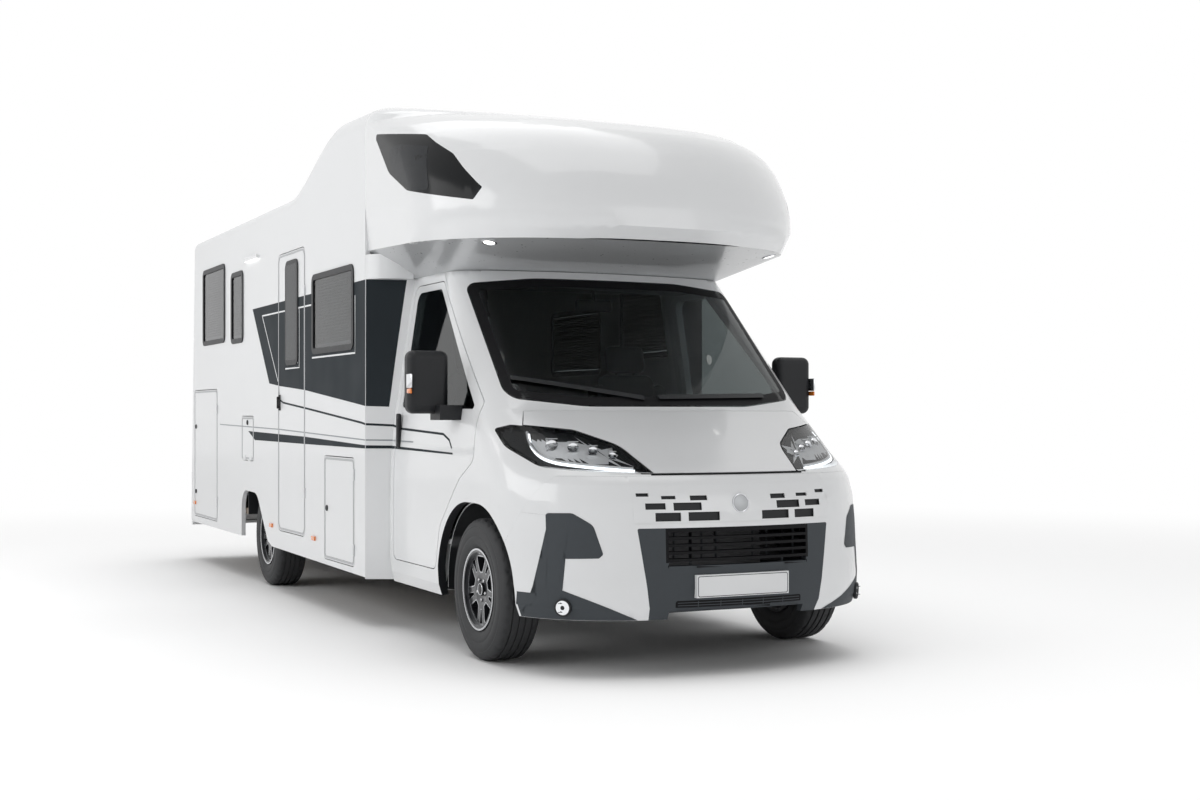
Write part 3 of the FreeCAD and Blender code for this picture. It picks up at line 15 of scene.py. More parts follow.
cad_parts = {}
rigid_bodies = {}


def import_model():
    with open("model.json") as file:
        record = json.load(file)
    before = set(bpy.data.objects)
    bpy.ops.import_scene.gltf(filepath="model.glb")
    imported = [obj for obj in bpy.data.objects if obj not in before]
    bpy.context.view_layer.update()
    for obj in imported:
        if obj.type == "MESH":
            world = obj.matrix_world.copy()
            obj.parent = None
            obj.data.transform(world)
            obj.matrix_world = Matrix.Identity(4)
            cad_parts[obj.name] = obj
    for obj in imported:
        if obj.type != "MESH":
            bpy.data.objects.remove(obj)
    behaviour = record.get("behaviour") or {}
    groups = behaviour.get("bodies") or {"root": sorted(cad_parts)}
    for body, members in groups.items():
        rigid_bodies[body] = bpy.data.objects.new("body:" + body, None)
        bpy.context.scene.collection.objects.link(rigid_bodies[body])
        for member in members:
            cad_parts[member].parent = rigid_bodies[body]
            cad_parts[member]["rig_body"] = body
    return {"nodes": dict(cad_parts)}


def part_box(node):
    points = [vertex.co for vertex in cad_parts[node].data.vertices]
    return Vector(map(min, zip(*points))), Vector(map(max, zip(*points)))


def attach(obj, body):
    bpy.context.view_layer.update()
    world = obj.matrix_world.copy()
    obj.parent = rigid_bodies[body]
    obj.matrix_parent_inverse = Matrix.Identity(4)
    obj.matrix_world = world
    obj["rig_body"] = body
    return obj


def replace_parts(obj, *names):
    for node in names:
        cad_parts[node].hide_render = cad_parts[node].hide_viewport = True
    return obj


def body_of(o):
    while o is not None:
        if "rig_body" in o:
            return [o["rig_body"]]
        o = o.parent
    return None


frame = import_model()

log = logging.getLogger("motorhome")

# Stations are counted forwards from the front axle, which stands FRONT_AXLE ahead of the frame's origin.
FRONT_AXLE = 2.780
REAR_AXLE = -4.035
WALL = 1.150
WHEEL_HEIGHT = 0.366
FOIL_LIFT = 0.0006
WELD = 2e-5
SIDES = (("right", -1), ("left", 1))
Pair = tuple[float, float]
Triple = tuple[float, float, float]


def at(x: float, y: float, z: float) -> Vector:
    """Point of the frame from a station, a distance to the left and a height."""
    return Vector((x + FRONT_AXLE, y, z))


def off_right(u: float, v: float, depth: float) -> Vector:
    """Place at a station and a height, some way out of the right wall."""
    return at(u, -WALL - depth, v)


def add(tree: bpy.types.NodeTree, kind: str, inputs: Mapping[Union[int, str], object],
        **settings: object) -> bpy.types.Node:
    """Add a shader node.

    Args:
        tree: the nodes that it joins.
        kind: its type, without the usual beginning.
        inputs: sockets to link from, or values to set, by the input's name or place.
        settings: its other properties.

    Returns:
        The node.
    """
    node = tree.nodes.new(f"ShaderNode{kind}")
    for label, value in settings.items():
        setattr(node, label, value)
    for label, value in inputs.items():
        if isinstance(value, bpy.types.NodeSocket):
            tree.links.new(value, node.inputs[label])
        else:
            node.inputs[label].default_value = value
    return node


def combine(tree: bpy.types.NodeTree, operation: str, one: object, other: object) -> bpy.types.NodeSocket:
    """Result of a sum, product or the like of two sockets or values."""
    return add(tree, "Math", {0: one, 1: other}, operation=operation).outputs[0]


def preset(node: bpy.types.Node, values: Mapping[str, object]) -> None:
    """Set inputs of a node."""
    for label, value in values.items():
        node.inputs[label].default_value = value


def added(name: str, data: bpy.types.ID) -> bpy.types.Object:
    """New object in the scene."""
    holder = bpy.data.objects.new(name, data)
    bpy.context.scene.collection.objects.link(holder)
    return holder


class Effect(Enum):
    """Surface effects that materials share."""

    LACQUER = "lacquer ripple"
    MOULDED = "moulded grain"
    RUBBER = "cured rubber"
    METAL = "metal grain"
    WEAVE = "fabric weave"


class EffectLibrary:
    """Shader node groups, each built once: Tint masks colour, Wear drives roughness, Height feeds a bump."""

    built: dict[Effect, bpy.types.NodeTree] = {}

    @classmethod
    def group(cls, effect: Effect) -> bpy.types.NodeTree:
        """Find the group of an effect, building it the first time.

        Args:
            effect: which surface effect is wanted.

        Returns:
            The node group with Scale in, and Tint, Wear and Height out.
        """
        if effect not in cls.built:
            tree = bpy.data.node_groups.new(effect.value, "ShaderNodeTree")
            scale = tree.interface.new_socket("Scale", in_out="INPUT", socket_type="NodeSocketFloat")
            scale.default_value = 40.0
            for name in ("Tint", "Wear", "Height"):
                tree.interface.new_socket(name, in_out="OUTPUT", socket_type="NodeSocketFloat")
            cls.wire(effect, tree)
            cls.built[effect] = tree
        return cls.built[effect]

    @staticmethod
    def wire(effect: Effect, tree: bpy.types.NodeTree) -> None:
        """Wire the inside of one effect's group.

        Args:
            effect: which effect.
            tree: its empty group.
        """
        scale = tree.nodes.new("NodeGroupInput").outputs["Scale"]
        sink = tree.nodes.new("NodeGroupOutput")
        place = add(tree, "TexCoord", {}).outputs["Object"]
        if effect is Effect.METAL:
            place = add(tree, "Mapping", {"Vector": place, "Scale": (1.0, 1.0, 9.0)}).outputs["Vector"]

        def noise(share: float, detail: float) -> bpy.types.NodeSocket:
            """Noise at a share of the group's scale."""
            return add(tree, "TexNoise", {"Vector": place, "Scale": combine(tree, "MULTIPLY", scale, share),
                                          "Detail": detail}).outputs["Fac"]

        broad = noise(0.04, 2.0)
        if effect is Effect.WEAVE:
            threads = [add(tree, "TexWave", {"Vector": place, "Scale": scale},
                           bands_direction=axis).outputs["Fac"] for axis in ("X", "Z")]
            fine = combine(tree, "MAXIMUM", *threads)
        else:
            fine = noise(1.0, 0.5 if effect is Effect.LACQUER else 3.0)
        wear = combine(tree, "MULTIPLY", broad, fine)
        for name, value in (("Tint", broad), ("Wear", wear), ("Height", fine)):
            tree.links.new(value, sink.inputs[name])


@dataclass(frozen=True)
class Finish:
    """One finish of the vehicle, turned into a material on first use."""

    name: str
    colour: Triple
    roughness: float
    effect: Effect
    scale: float = 60.0
    bump: float = 0.02
    bump_size: float = 0.001
    tint: float = 0.06
    metallic: float = 0.0
    coat: float = 0.0
    specular: float = 0.5

    def material(self) -> bpy.types.Material:
        """Build the finish's material, or return it if it exists."""
        known = bpy.data.materials.get(self.name)
        if known:
            return known
        material = bpy.data.materials.new(self.name)
        material.use_nodes = True
        tree = material.node_tree
        shader = tree.nodes["Principled BSDF"]
        preset(shader, {"Metallic": self.metallic, "Coat Weight": self.coat, "Coat Roughness": 0.04,
                        "Specular IOR Level": self.specular})
        effect = add(tree, "Group", {"Scale": self.scale}, node_tree=EffectLibrary.group(self.effect)).outputs
        low = tuple(channel * (1.0 - self.tint) for channel in self.colour)
        high = tuple(min(1.0, channel * (1.0 + self.tint)) for channel in self.colour)
        colour = add(tree, "Mix", {"Factor": effect["Tint"], "A": (*low, 1.0), "B": (*high, 1.0)},
                     data_type="RGBA")
        tree.links.new(colour.outputs["Result"], shader.inputs["Base Color"])
        rough = add(tree, "MapRange", {"Value": effect["Wear"], "To Min": self.roughness * 0.85,
                                       "To Max": min(1.0, self.roughness * 1.35)})
        tree.links.new(rough.outputs["Result"], shader.inputs["Roughness"])
        if self.bump > 0:
            bump = add(tree, "Bump",
                       {"Height": effect["Height"], "Strength": self.bump, "Distance": self.bump_size})
            tree.links.new(bump.outputs["Normal"], shader.inputs["Normal"])
        self.extend(shader)
        return material

    def extend(self, shader: bpy.types.Node) -> None:
        """Room for finishes that need more than colour, gloss and relief."""


@dataclass(frozen=True)
class Glazing(Finish):
    """Clear or tinted pane, lens or dome."""

    ior: float = 1.45

    def extend(self, shader: bpy.types.Node) -> None:
        """Let light through."""
        preset(shader, {"Transmission Weight": 1.0, "IOR": self.ior})


@dataclass(frozen=True)
class Glow(Finish):
    """Lit lamp element."""

    strength: float = 1.0

    def extend(self, shader: bpy.types.Node) -> None:
        """Give off the finish's own colour."""
        preset(shader, {"Emission Color": (*self.colour, 1.0), "Emission Strength": self.strength})


BODY_WHITE = Finish("white lacquer", (0.80, 0.81, 0.82), 0.24, Effect.LACQUER, 6.0, 0.05, 0.0006, 0.01,
                    coat=0.6)
PANEL_WHITE = Finish("white sandwich panel", (0.79, 0.80, 0.81), 0.32, Effect.LACQUER, 5.0, 0.08, 0.0008,
                     0.01, coat=0.3)
GRAPHITE_FOIL = Finish("graphite foil", (0.026, 0.032, 0.037), 0.6, Effect.LACQUER, 5.0, 0.05, 0.0008, 0.05,
                       specular=0.08)
GREY_FOIL = Finish("grey foil", (0.27, 0.29, 0.31), 0.4, Effect.LACQUER, 5.0, 0.05, specular=0.3)
WHITE_FOIL = Finish("white foil", (0.82, 0.83, 0.84), 0.35, Effect.LACQUER, 5.0, 0.05, tint=0.01)
# The overcab's underside gets a mid grey, darker than the body's white: painted shade under the overhang.
SOFFIT_PAINTED_SHADE = Finish("soffit grey with painted shade", (0.50, 0.51, 0.52), 0.3, Effect.LACQUER, 40.0, 0.02, 0.001, 0.03,
                       metallic=0.25, coat=0.5)
CLADDING = Finish("grained bumper plastic", (0.048, 0.055, 0.062), 0.6, Effect.MOULDED, 900.0, 0.25, 0.0004,
                  0.08, specular=0.3)
BLACK_PLASTIC = Finish("black plastic", (0.012, 0.013, 0.015), 0.45, Effect.MOULDED, 700.0, 0.2, 0.0004, 0.1,
                       specular=0.3)
GLOSS_BLACK = Finish("gloss black", (0.006, 0.007, 0.008), 0.14, Effect.LACQUER, 30.0, 0.01, specular=0.16)
DEEP_BLACK = Finish("deep black", (0.004, 0.004, 0.005), 0.6, Effect.MOULDED, 500.0, 0.1, 0.0004, 0.1,
                    specular=0.15)
GREY_SEAL = Finish("grey edge profile", (0.46, 0.47, 0.48), 0.45, Effect.MOULDED, 300.0, 0.1, 0.0004, 0.06)
TYRE = Finish("tyre rubber", (0.028, 0.029, 0.031), 0.72, Effect.RUBBER, 160.0, 0.35, 0.0008, 0.18)
WHEEL_DARK = Finish("dark wheel lacquer", (0.030, 0.032, 0.036), 0.3, Effect.METAL, 80.0, 0.03, 0.0004, 0.08,
                    metallic=0.4, coat=0.5)
TURNED_ALLOY = Finish("turned alloy", (0.62, 0.63, 0.65), 0.22, Effect.METAL, 300.0, 0.1, 0.0003, 0.06,
                      metallic=1.0)
CHASSIS_STEEL = Finish("coated steel", (0.035, 0.036, 0.038), 0.55, Effect.METAL, 60.0, 0.3, 0.001, 0.2)
GALVANISED = Finish("galvanised steel", (0.38, 0.39, 0.40), 0.42, Effect.METAL, 24.0, 0.15, 0.001, 0.22,
                    metallic=0.8)
CAST_IRON = Finish("cast iron", (0.11, 0.11, 0.115), 0.62, Effect.METAL, 120.0, 0.5, 0.001, 0.2, metallic=0.6)
BRAKE_STEEL = Finish("brake steel", (0.42, 0.42, 0.43), 0.3, Effect.METAL, 200.0, 0.2, 0.0003, 0.08,
                     metallic=1.0)
REFLECTOR = Finish("bright reflector", (0.80, 0.81, 0.83), 0.08, Effect.METAL, 30.0, 0.01, metallic=1.0)
FLOOR_VINYL = Finish("floor vinyl", (0.24, 0.20, 0.16), 0.5, Effect.MOULDED, 120.0, 0.1, 0.0006, 0.2)
SEAT_CLOTH = Finish("seat cloth", (0.050, 0.052, 0.058), 0.85, Effect.WEAVE, 420.0, 0.4, 0.0008, 0.15)
BLIND = Finish("pleated blind", (0.13, 0.135, 0.14), 0.75, Effect.WEAVE, 600.0, 0.15, 0.0003, 0.06)
SHADED_BLIND = Finish("blind behind acrylic", (0.030, 0.032, 0.035), 0.22, Effect.WEAVE, 600.0, 0.05, 0.0003,
                      0.06, specular=0.1)
PLATE_WHITE = Finish("plate foil", (0.80, 0.81, 0.82), 0.35, Effect.LACQUER, 40.0, 0.01)
WINDSCREEN_GLASS = Glazing("windscreen glass", (0.34, 0.38, 0.38), 0.01, Effect.LACQUER, 10.0, 0.0,
                           specular=0.3, ior=1.3)
DOOR_GLASS = Glazing("door glass", (0.17, 0.19, 0.19), 0.01, Effect.LACQUER, 10.0, 0.0, specular=0.2, ior=1.3)
DARK_ACRYLIC = Glazing("smoked acrylic", (0.26, 0.27, 0.28), 0.03, Effect.LACQUER, 10.0, 0.0, specular=0.25,
                       ior=1.25)
DOME_ACRYLIC = Glazing("dome acrylic", (0.75, 0.77, 0.78), 0.08, Effect.LACQUER, 10.0, 0.0)
LENS = Glazing("clear lens", (0.95, 0.96, 0.97), 0.01, Effect.LACQUER, 10.0, 0.0, ior=1.2)
RED_LENS = Finish("red lens", (0.42, 0.010, 0.012), 0.12, Effect.MOULDED, 160.0, 0.3, 0.0006, 0.1, coat=1.0)
AMBER_LENS = Finish("amber lens", (0.85, 0.22, 0.02), 0.15, Effect.MOULDED, 160.0, 0.3, 0.0006, 0.1, coat=1.0)
DAYLIGHT = Glow("daylight strip", (0.90, 0.95, 1.0), 0.2, Effect.MOULDED, 100.0, 0.0, strength=0.9)
WARM_LED = Glow("led lamp", (1.0, 0.98, 0.94), 0.2, Effect.MOULDED, 100.0, 0.0, strength=1.6)


class Skin:
    """Surfaces of CAD nodes, read by rays from outside, that pieces are laid on.

    Each place is read again a little to either side, by span, so that a gap narrower than that is bridged.
    A place that lies further in than ledge, between its neighbours, counts as such a gap.
    """

    span: float = 0.008
    ledge: float = 0.004

    def __init__(self, *names: str) -> None:
        """Gather the faces of the named nodes."""
        points: list[Vector] = []
        faces: list[list[int]] = []
        for name in names:
            base = len(points)
            mesh = frame["nodes"][name].data
            points += [vertex.co.copy() for vertex in mesh.vertices]
            faces += [[base + index for index in face.vertices] for face in mesh.polygons]
        self.tree = BVHTree.FromPolygons(points, faces)

    def cast(self, start: Vector, way: Vector) -> Optional[tuple[Vector, Vector]]:
        """First point met from a start along a way.

        Args:
            start: where the ray begins.
            way: its direction.

        Returns:
            The point and the outward normal, or nothing.
        """
        point, normal, _, _ = self.tree.ray_cast(start, way)
        if point is None:
            return None
        return point, (normal if normal.dot(way) < 0 else -normal)

    def meet(self, view: int, u: float, v: float) -> Optional[tuple[Vector, Vector]]:
        """Point and normal met at (u, v), looking from the right (-1), the left (1) or ahead (0).

        Args:
            view: where the ray comes from.
            u: station from the sides, distance to the left from ahead.
            v: height.

        Returns:
            The point and the outward normal, or nothing.
        """
        toward = Vector((0.0, view, 0.0)) if view else Vector((1.0, 0.0, 0.0))

        def look(across: float, up: float) -> Optional[tuple[Vector, Vector]]:
            start = at(u + across, view * 3.0, v + up) if view else at(3.0, u + across, v + up)
            return self.cast(start, -toward)

        best = look(0.0, 0.0)
        for across, up in ((self.span, 0.0), (0.0, self.span)):
            one, other = look(across, up), look(-across, -up)
            if one and other:
                middle = (one[0] + other[0]) / 2
                if best is None or (middle - best[0]).dot(toward) > self.ledge:
                    best = middle, (one[1] + other[1]).normalized()
        return best


class Wall(Skin):
    """Flat side of the living body."""

    def __init__(self, distance: float = WALL) -> None:
        """Take the wall's distance from the middle."""
        self.distance = distance

    def meet(self, view: int, u: float, v: float) -> Optional[tuple[Vector, Vector]]:
        """Point and normal of the wall at a station and height, on the right (-1) or the left (1)."""
        return at(u, view * self.distance, v), Vector((0.0, view, 0.0))


def publish(name: str, parts: Union[bpy.types.Mesh, Sequence[bpy.types.Mesh]], finish: Finish, body: str,
            smooth: float = 0.6) -> bpy.types.Object:
    """Put a finished piece into the scene on a body.

    Args:
        name: plain name of the piece.
        parts: its mesh or meshes, in frame coordinates.
        finish: what it is made of.
        body: the CAD body that it moves with.
        smooth: faces that meet at less than this angle are shaded smooth.

    Returns:
        The new object.
    """
    mesh = parts if isinstance(parts, bpy.types.Mesh) else joined(parts)
    mesh.name = name
    piece = added(name, mesh)
    mesh.materials.clear()
    mesh.materials.append(finish.material())
    mesh.shade_smooth()
    mesh.set_sharp_from_angle(angle=smooth)
    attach(piece, body)
    log.info("built %s on %s: %d faces", name, body, len(mesh.polygons))
    return piece


def baked(shape: bmesh.types.BMesh) -> bpy.types.Mesh:
    """Mesh of a shape, which is freed."""
    mesh = bpy.data.meshes.new("mesh")
    shape.to_mesh(mesh)
    shape.free()
    return mesh


def mesh_of(points: Sequence[Vector], faces: Sequence[Sequence[int]]) -> bpy.types.Mesh:
    """Mesh from points and faces, with its normals made to face outwards.

    Args:
        points: its corners.
        faces: the numbers of the corners round each face.

    Returns:
        The mesh.
    """
    mesh = bpy.data.meshes.new("mesh")
    mesh.from_pydata([tuple(point) for point in points], [], [tuple(face) for face in faces])
    shape = bmesh.new()
    shape.from_mesh(mesh)
    bmesh.ops.recalc_face_normals(shape, faces=shape.faces)
    return baked(shape)


def joined(meshes: Iterable[bpy.types.Mesh]) -> bpy.types.Mesh:
    """One mesh made of several."""
    shape = bmesh.new()
    for mesh in meshes:
        shape.from_mesh(mesh)
    return baked(shape)


def copied(node: str) -> bmesh.types.BMesh:
    """Shape of a CAD node, its faces joined at their corners.

    Args:
        node: its name.

    Returns:
        A shape that the caller frees.
    """
    shape = bmesh.new()
    shape.from_mesh(frame["nodes"][node].data)
    bmesh.ops.remove_doubles(shape, verts=shape.verts, dist=WELD)
    return shape


def repaint(mesh: bpy.types.Mesh, finish: Finish, chosen: Callable[[bpy.types.MeshPolygon], bool]) -> None:
    """Give one more finish to the faces of a mesh that a test picks.

    Args:
        mesh: what is painted.
        finish: the finish.
        chosen: the test.
    """
    mesh.materials.append(finish.material())
    for face in mesh.polygons:
        if chosen(face):
            face.material_index = len(mesh.materials) - 1


def quads(count: int, rows: int, ring: bool = True, loop: bool = False) -> list[list[int]]:
    """Faces between rows of points that follow one another.

    Args:
        count: points in each row.
        rows: how many rows there are.
        ring: whether the end of a row joins its start.
        loop: whether the last row joins the first.

    Returns:
        Four points for each face, row by row.
    """
    faces = []
    for row in range(rows if loop else rows - 1):
        base, above = row * count, (row + 1) % rows * count
        for here in range(count if ring else count - 1):
            beside = (here + 1) % count
            faces.append([base + here, base + beside, above + beside, above + here])
    return faces


def circle(radius: float, count: int, middle: Pair = (0.0, 0.0)) -> list[Pair]:
    """Points on a circle."""
    turns = [2 * math.pi * step / count for step in range(count)]
    return [(middle[0] + radius * math.cos(turn), middle[1] + radius * math.sin(turn)) for turn in turns]


def rounded(corners: Sequence[Sequence[float]], steps: int = 5) -> list[Pair]:
    """Outline with arcs at corners given as (u, v) or (u, v, radius).

    Args:
        corners: the corners in order.
        steps: straight steps in each arc.

    Returns:
        The points of the outline.
    """
    outline: list[Pair] = []
    count = len(corners)
    for index, corner in enumerate(corners):
        here = Vector(corner[:2])
        radius = corner[2] if len(corner) > 2 else 0.0
        if radius <= 0:
            outline.append((here.x, here.y))
            continue
        before = (Vector(corners[index - 1][:2]) - here).normalized()
        after = (Vector(corners[(index + 1) % count][:2]) - here).normalized()
        half = before.angle(after) / 2
        reach = radius / math.tan(half)
        centre = here + (before + after).normalized() * (radius / math.sin(half))
        start, stop = here + before * reach - centre, here + after * reach - centre
        turn = start.angle_signed(stop)
        for step in range(steps + 1):
            arm = start.copy()
            arm.rotate(Matrix.Rotation(-turn * step / steps, 2))
            outline.append(((centre + arm).x, (centre + arm).y))
    return outline


def rectangle(left: float, low: float, right: float, high: float, radius: float = 0.0) -> list[Pair]:
    """Outline of a rectangle with rounded corners."""
    return rounded([(left, low, radius), (right, low, radius), (right, high, radius), (left, high, radius)])


def prism(outline: Sequence[Pair], place: Callable[[float, float, float], Vector], near: float, far: float,
          bevel: float = 0.0) -> bpy.types.Mesh:
    """Prism of an outline between two depths.

    Args:
        outline: points (u, v).
        place: turns (u, v, depth) into a point of the frame.
        near: first depth.
        far: second depth.
        bevel: width of a chamfer round the far face.

    Returns:
        The closed mesh.
    """
    count = len(outline)
    rings = [[place(u, v, near) for u, v in outline], [place(u, v, far) for u, v in outline]]
    if bevel > 0:
        step = bevel if far > near else -bevel
        rings[1] = [place(u, v, far - step) for u, v in outline]
        rings.append([place(u, v, far) for u, v in shrunk(outline, bevel)])
    points = [point for ring in rings for point in ring]
    ends = [list(range(count))[::-1], list(range(len(points) - count, len(points)))]
    return mesh_of(points, ends + quads(count, len(rings)))


def shrunk(outline: Sequence[Pair], amount: float) -> list[Pair]:
    """Outline drawn in by an amount, for outlines that turn gently.

    Args:
        outline: points (u, v).
        amount: how far, or less than nothing to draw it out.

    Returns:
        As many points.
    """
    area = sum(a[0] * b[1] - b[0] * a[1] for a, b in zip(outline, list(outline[1:]) + [outline[0]]))
    sign = 1.0 if area > 0 else -1.0
    inner: list[Pair] = []
    count = len(outline)
    for index in range(count):
        here = Vector(outline[index])
        before = here - Vector(outline[index - 1])
        after = Vector(outline[(index + 1) % count]) - here
        if before.length < 1e-7:
            before = after
        if after.length < 1e-7:
            after = before
        normals = [Vector((-way.y, way.x)).normalized() * sign for way in (before, after)]
        middle = (normals[0] + normals[1]).normalized()
        shift = amount / max(0.35, middle.dot(normals[0]))
        inner.append((here.x + middle.x * shift, here.y + middle.y * shift))
    return inner


def frame_strip(outer: Sequence[Pair], inner: Sequence[Pair], place: Callable[[float, float, float], Vector],
                near: float, far: float) -> bpy.types.Mesh:
    """Closed ring between two outlines with as many points each, from one depth to another.

    Args:
        outer: outline of its outside.
        inner: outline of its inside.
        place: turns (u, v, depth) into a point of the frame.
        near: first depth.
        far: second depth.

    Returns:
        The mesh.
    """
    count = len(outer)
    points = [place(u, v, depth) for depth in (near, far) for ring in (outer, inner) for u, v in ring]
    faces = []
    for index in range(count):
        after = (index + 1) % count
        corner = [index, after, count + after, count + index]
        faces += [corner, [2 * count + value for value in reversed(corner)],
                  [index, after, 2 * count + after, 2 * count + index],
                  [count + index, count + after, 3 * count + after, 3 * count + index]]
    return mesh_of(points, faces)


def tube(path: Sequence[Vector], radius: float, sides: int = 10, closed: bool = False) -> bpy.types.Mesh:
    """Round bar swept along a path.

    Args:
        path: points of its middle line.
        radius: half its thickness.
        sides: flat sides round it.
        closed: whether the path joins up.

    Returns:
        The mesh, with flat ends unless closed.
    """
    count = len(path)
    points: list[Vector] = []
    guide: Optional[Vector] = None
    for index in range(count):
        before = path[index - 1] if index or closed else path[0]
        after = path[(index + 1) % count] if index < count - 1 or closed else path[-1]
        way = (after - before).normalized()
        if guide is None:
            guide = way.orthogonal().normalized()
        guide = (guide - way * guide.dot(way)).normalized()
        cross = way.cross(guide)
        points += [path[index] + guide * along + cross * across for along, across in circle(radius, sides)]
    ends = [] if closed else [list(range(sides)), list(range(len(points) - sides, len(points)))]
    return mesh_of(points, quads(sides, count, loop=closed) + ends)


def lathe(profile: Sequence[Pair], centre: Vector, axis: Vector, segments: int = 64,
          closed: bool = False) -> bpy.types.Mesh:
    """Turned shape.

    Args:
        profile: points (radius, distance along the axis).
        centre: point where the distance is zero.
        axis: way of the axis.
        segments: flat sides round it.
        closed: whether the profile is a loop, as a ring's is.

    Returns:
        The mesh.
    """
    along = axis.normalized()
    first = along.orthogonal().normalized()
    second = along.cross(first)
    points: list[Vector] = []
    for a, b in circle(1.0, segments):
        arm = first * a + second * b
        points += [centre + arm * radius + along * distance for radius, distance in profile]
    shape = bmesh.new()
    shape.from_mesh(mesh_of(points, quads(len(profile), segments, closed, True)))
    bmesh.ops.remove_doubles(shape, verts=shape.verts, dist=1e-6)
    bmesh.ops.dissolve_degenerate(shape, edges=shape.edges, dist=1e-6)
    if not closed:
        bmesh.ops.holes_fill(shape, edges=[edge for edge in shape.edges if edge.is_boundary], sides=0)
    bmesh.ops.recalc_face_normals(shape, faces=shape.faces)
    return baked(shape)


def block(centre: Vector, size: Triple, bevel: float, turn: Optional[Matrix] = None,
          segments: int = 3) -> bpy.types.Mesh:
    """Rounded block about a centre, turned about it if asked.

    Args:
        centre: its middle.
        size: its three lengths.
        bevel: width of its rounded edges.
        turn: rotation about the middle.
        segments: strips on each edge.

    Returns:
        The mesh.
    """
    shape = bmesh.new()
    bmesh.ops.create_cube(shape, size=1.0)
    bmesh.ops.scale(shape, vec=size, verts=shape.verts)
    bmesh.ops.bevel(shape, geom=shape.edges[:], offset=bevel, segments=segments, profile=0.5, affect="EDGES")
    if turn is not None:
        bmesh.ops.transform(shape, matrix=turn.to_4x4(), verts=shape.verts)
    bmesh.ops.translate(shape, vec=centre, verts=shape.verts)
    return baked(shape)


def band(path: Sequence[Pair], width: float) -> list[Pair]:
    """Outline of a line of some width along a path.

    Args:
        path: points (u, v) of its middle.
        width: how wide it is.

    Returns:
        The outline.
    """
    left: list[Pair] = []
    right: list[Pair] = []
    for index, point in enumerate(path):
        before, after = Vector(path[max(0, index - 1)]), Vector(path[min(len(path) - 1, index + 1)])
        way = (after - before).normalized() * (width / 2)
        left.append((point[0] - way.y, point[1] + way.x))
        right.append((point[0] + way.y, point[1] - way.x))
    return left + right[::-1]


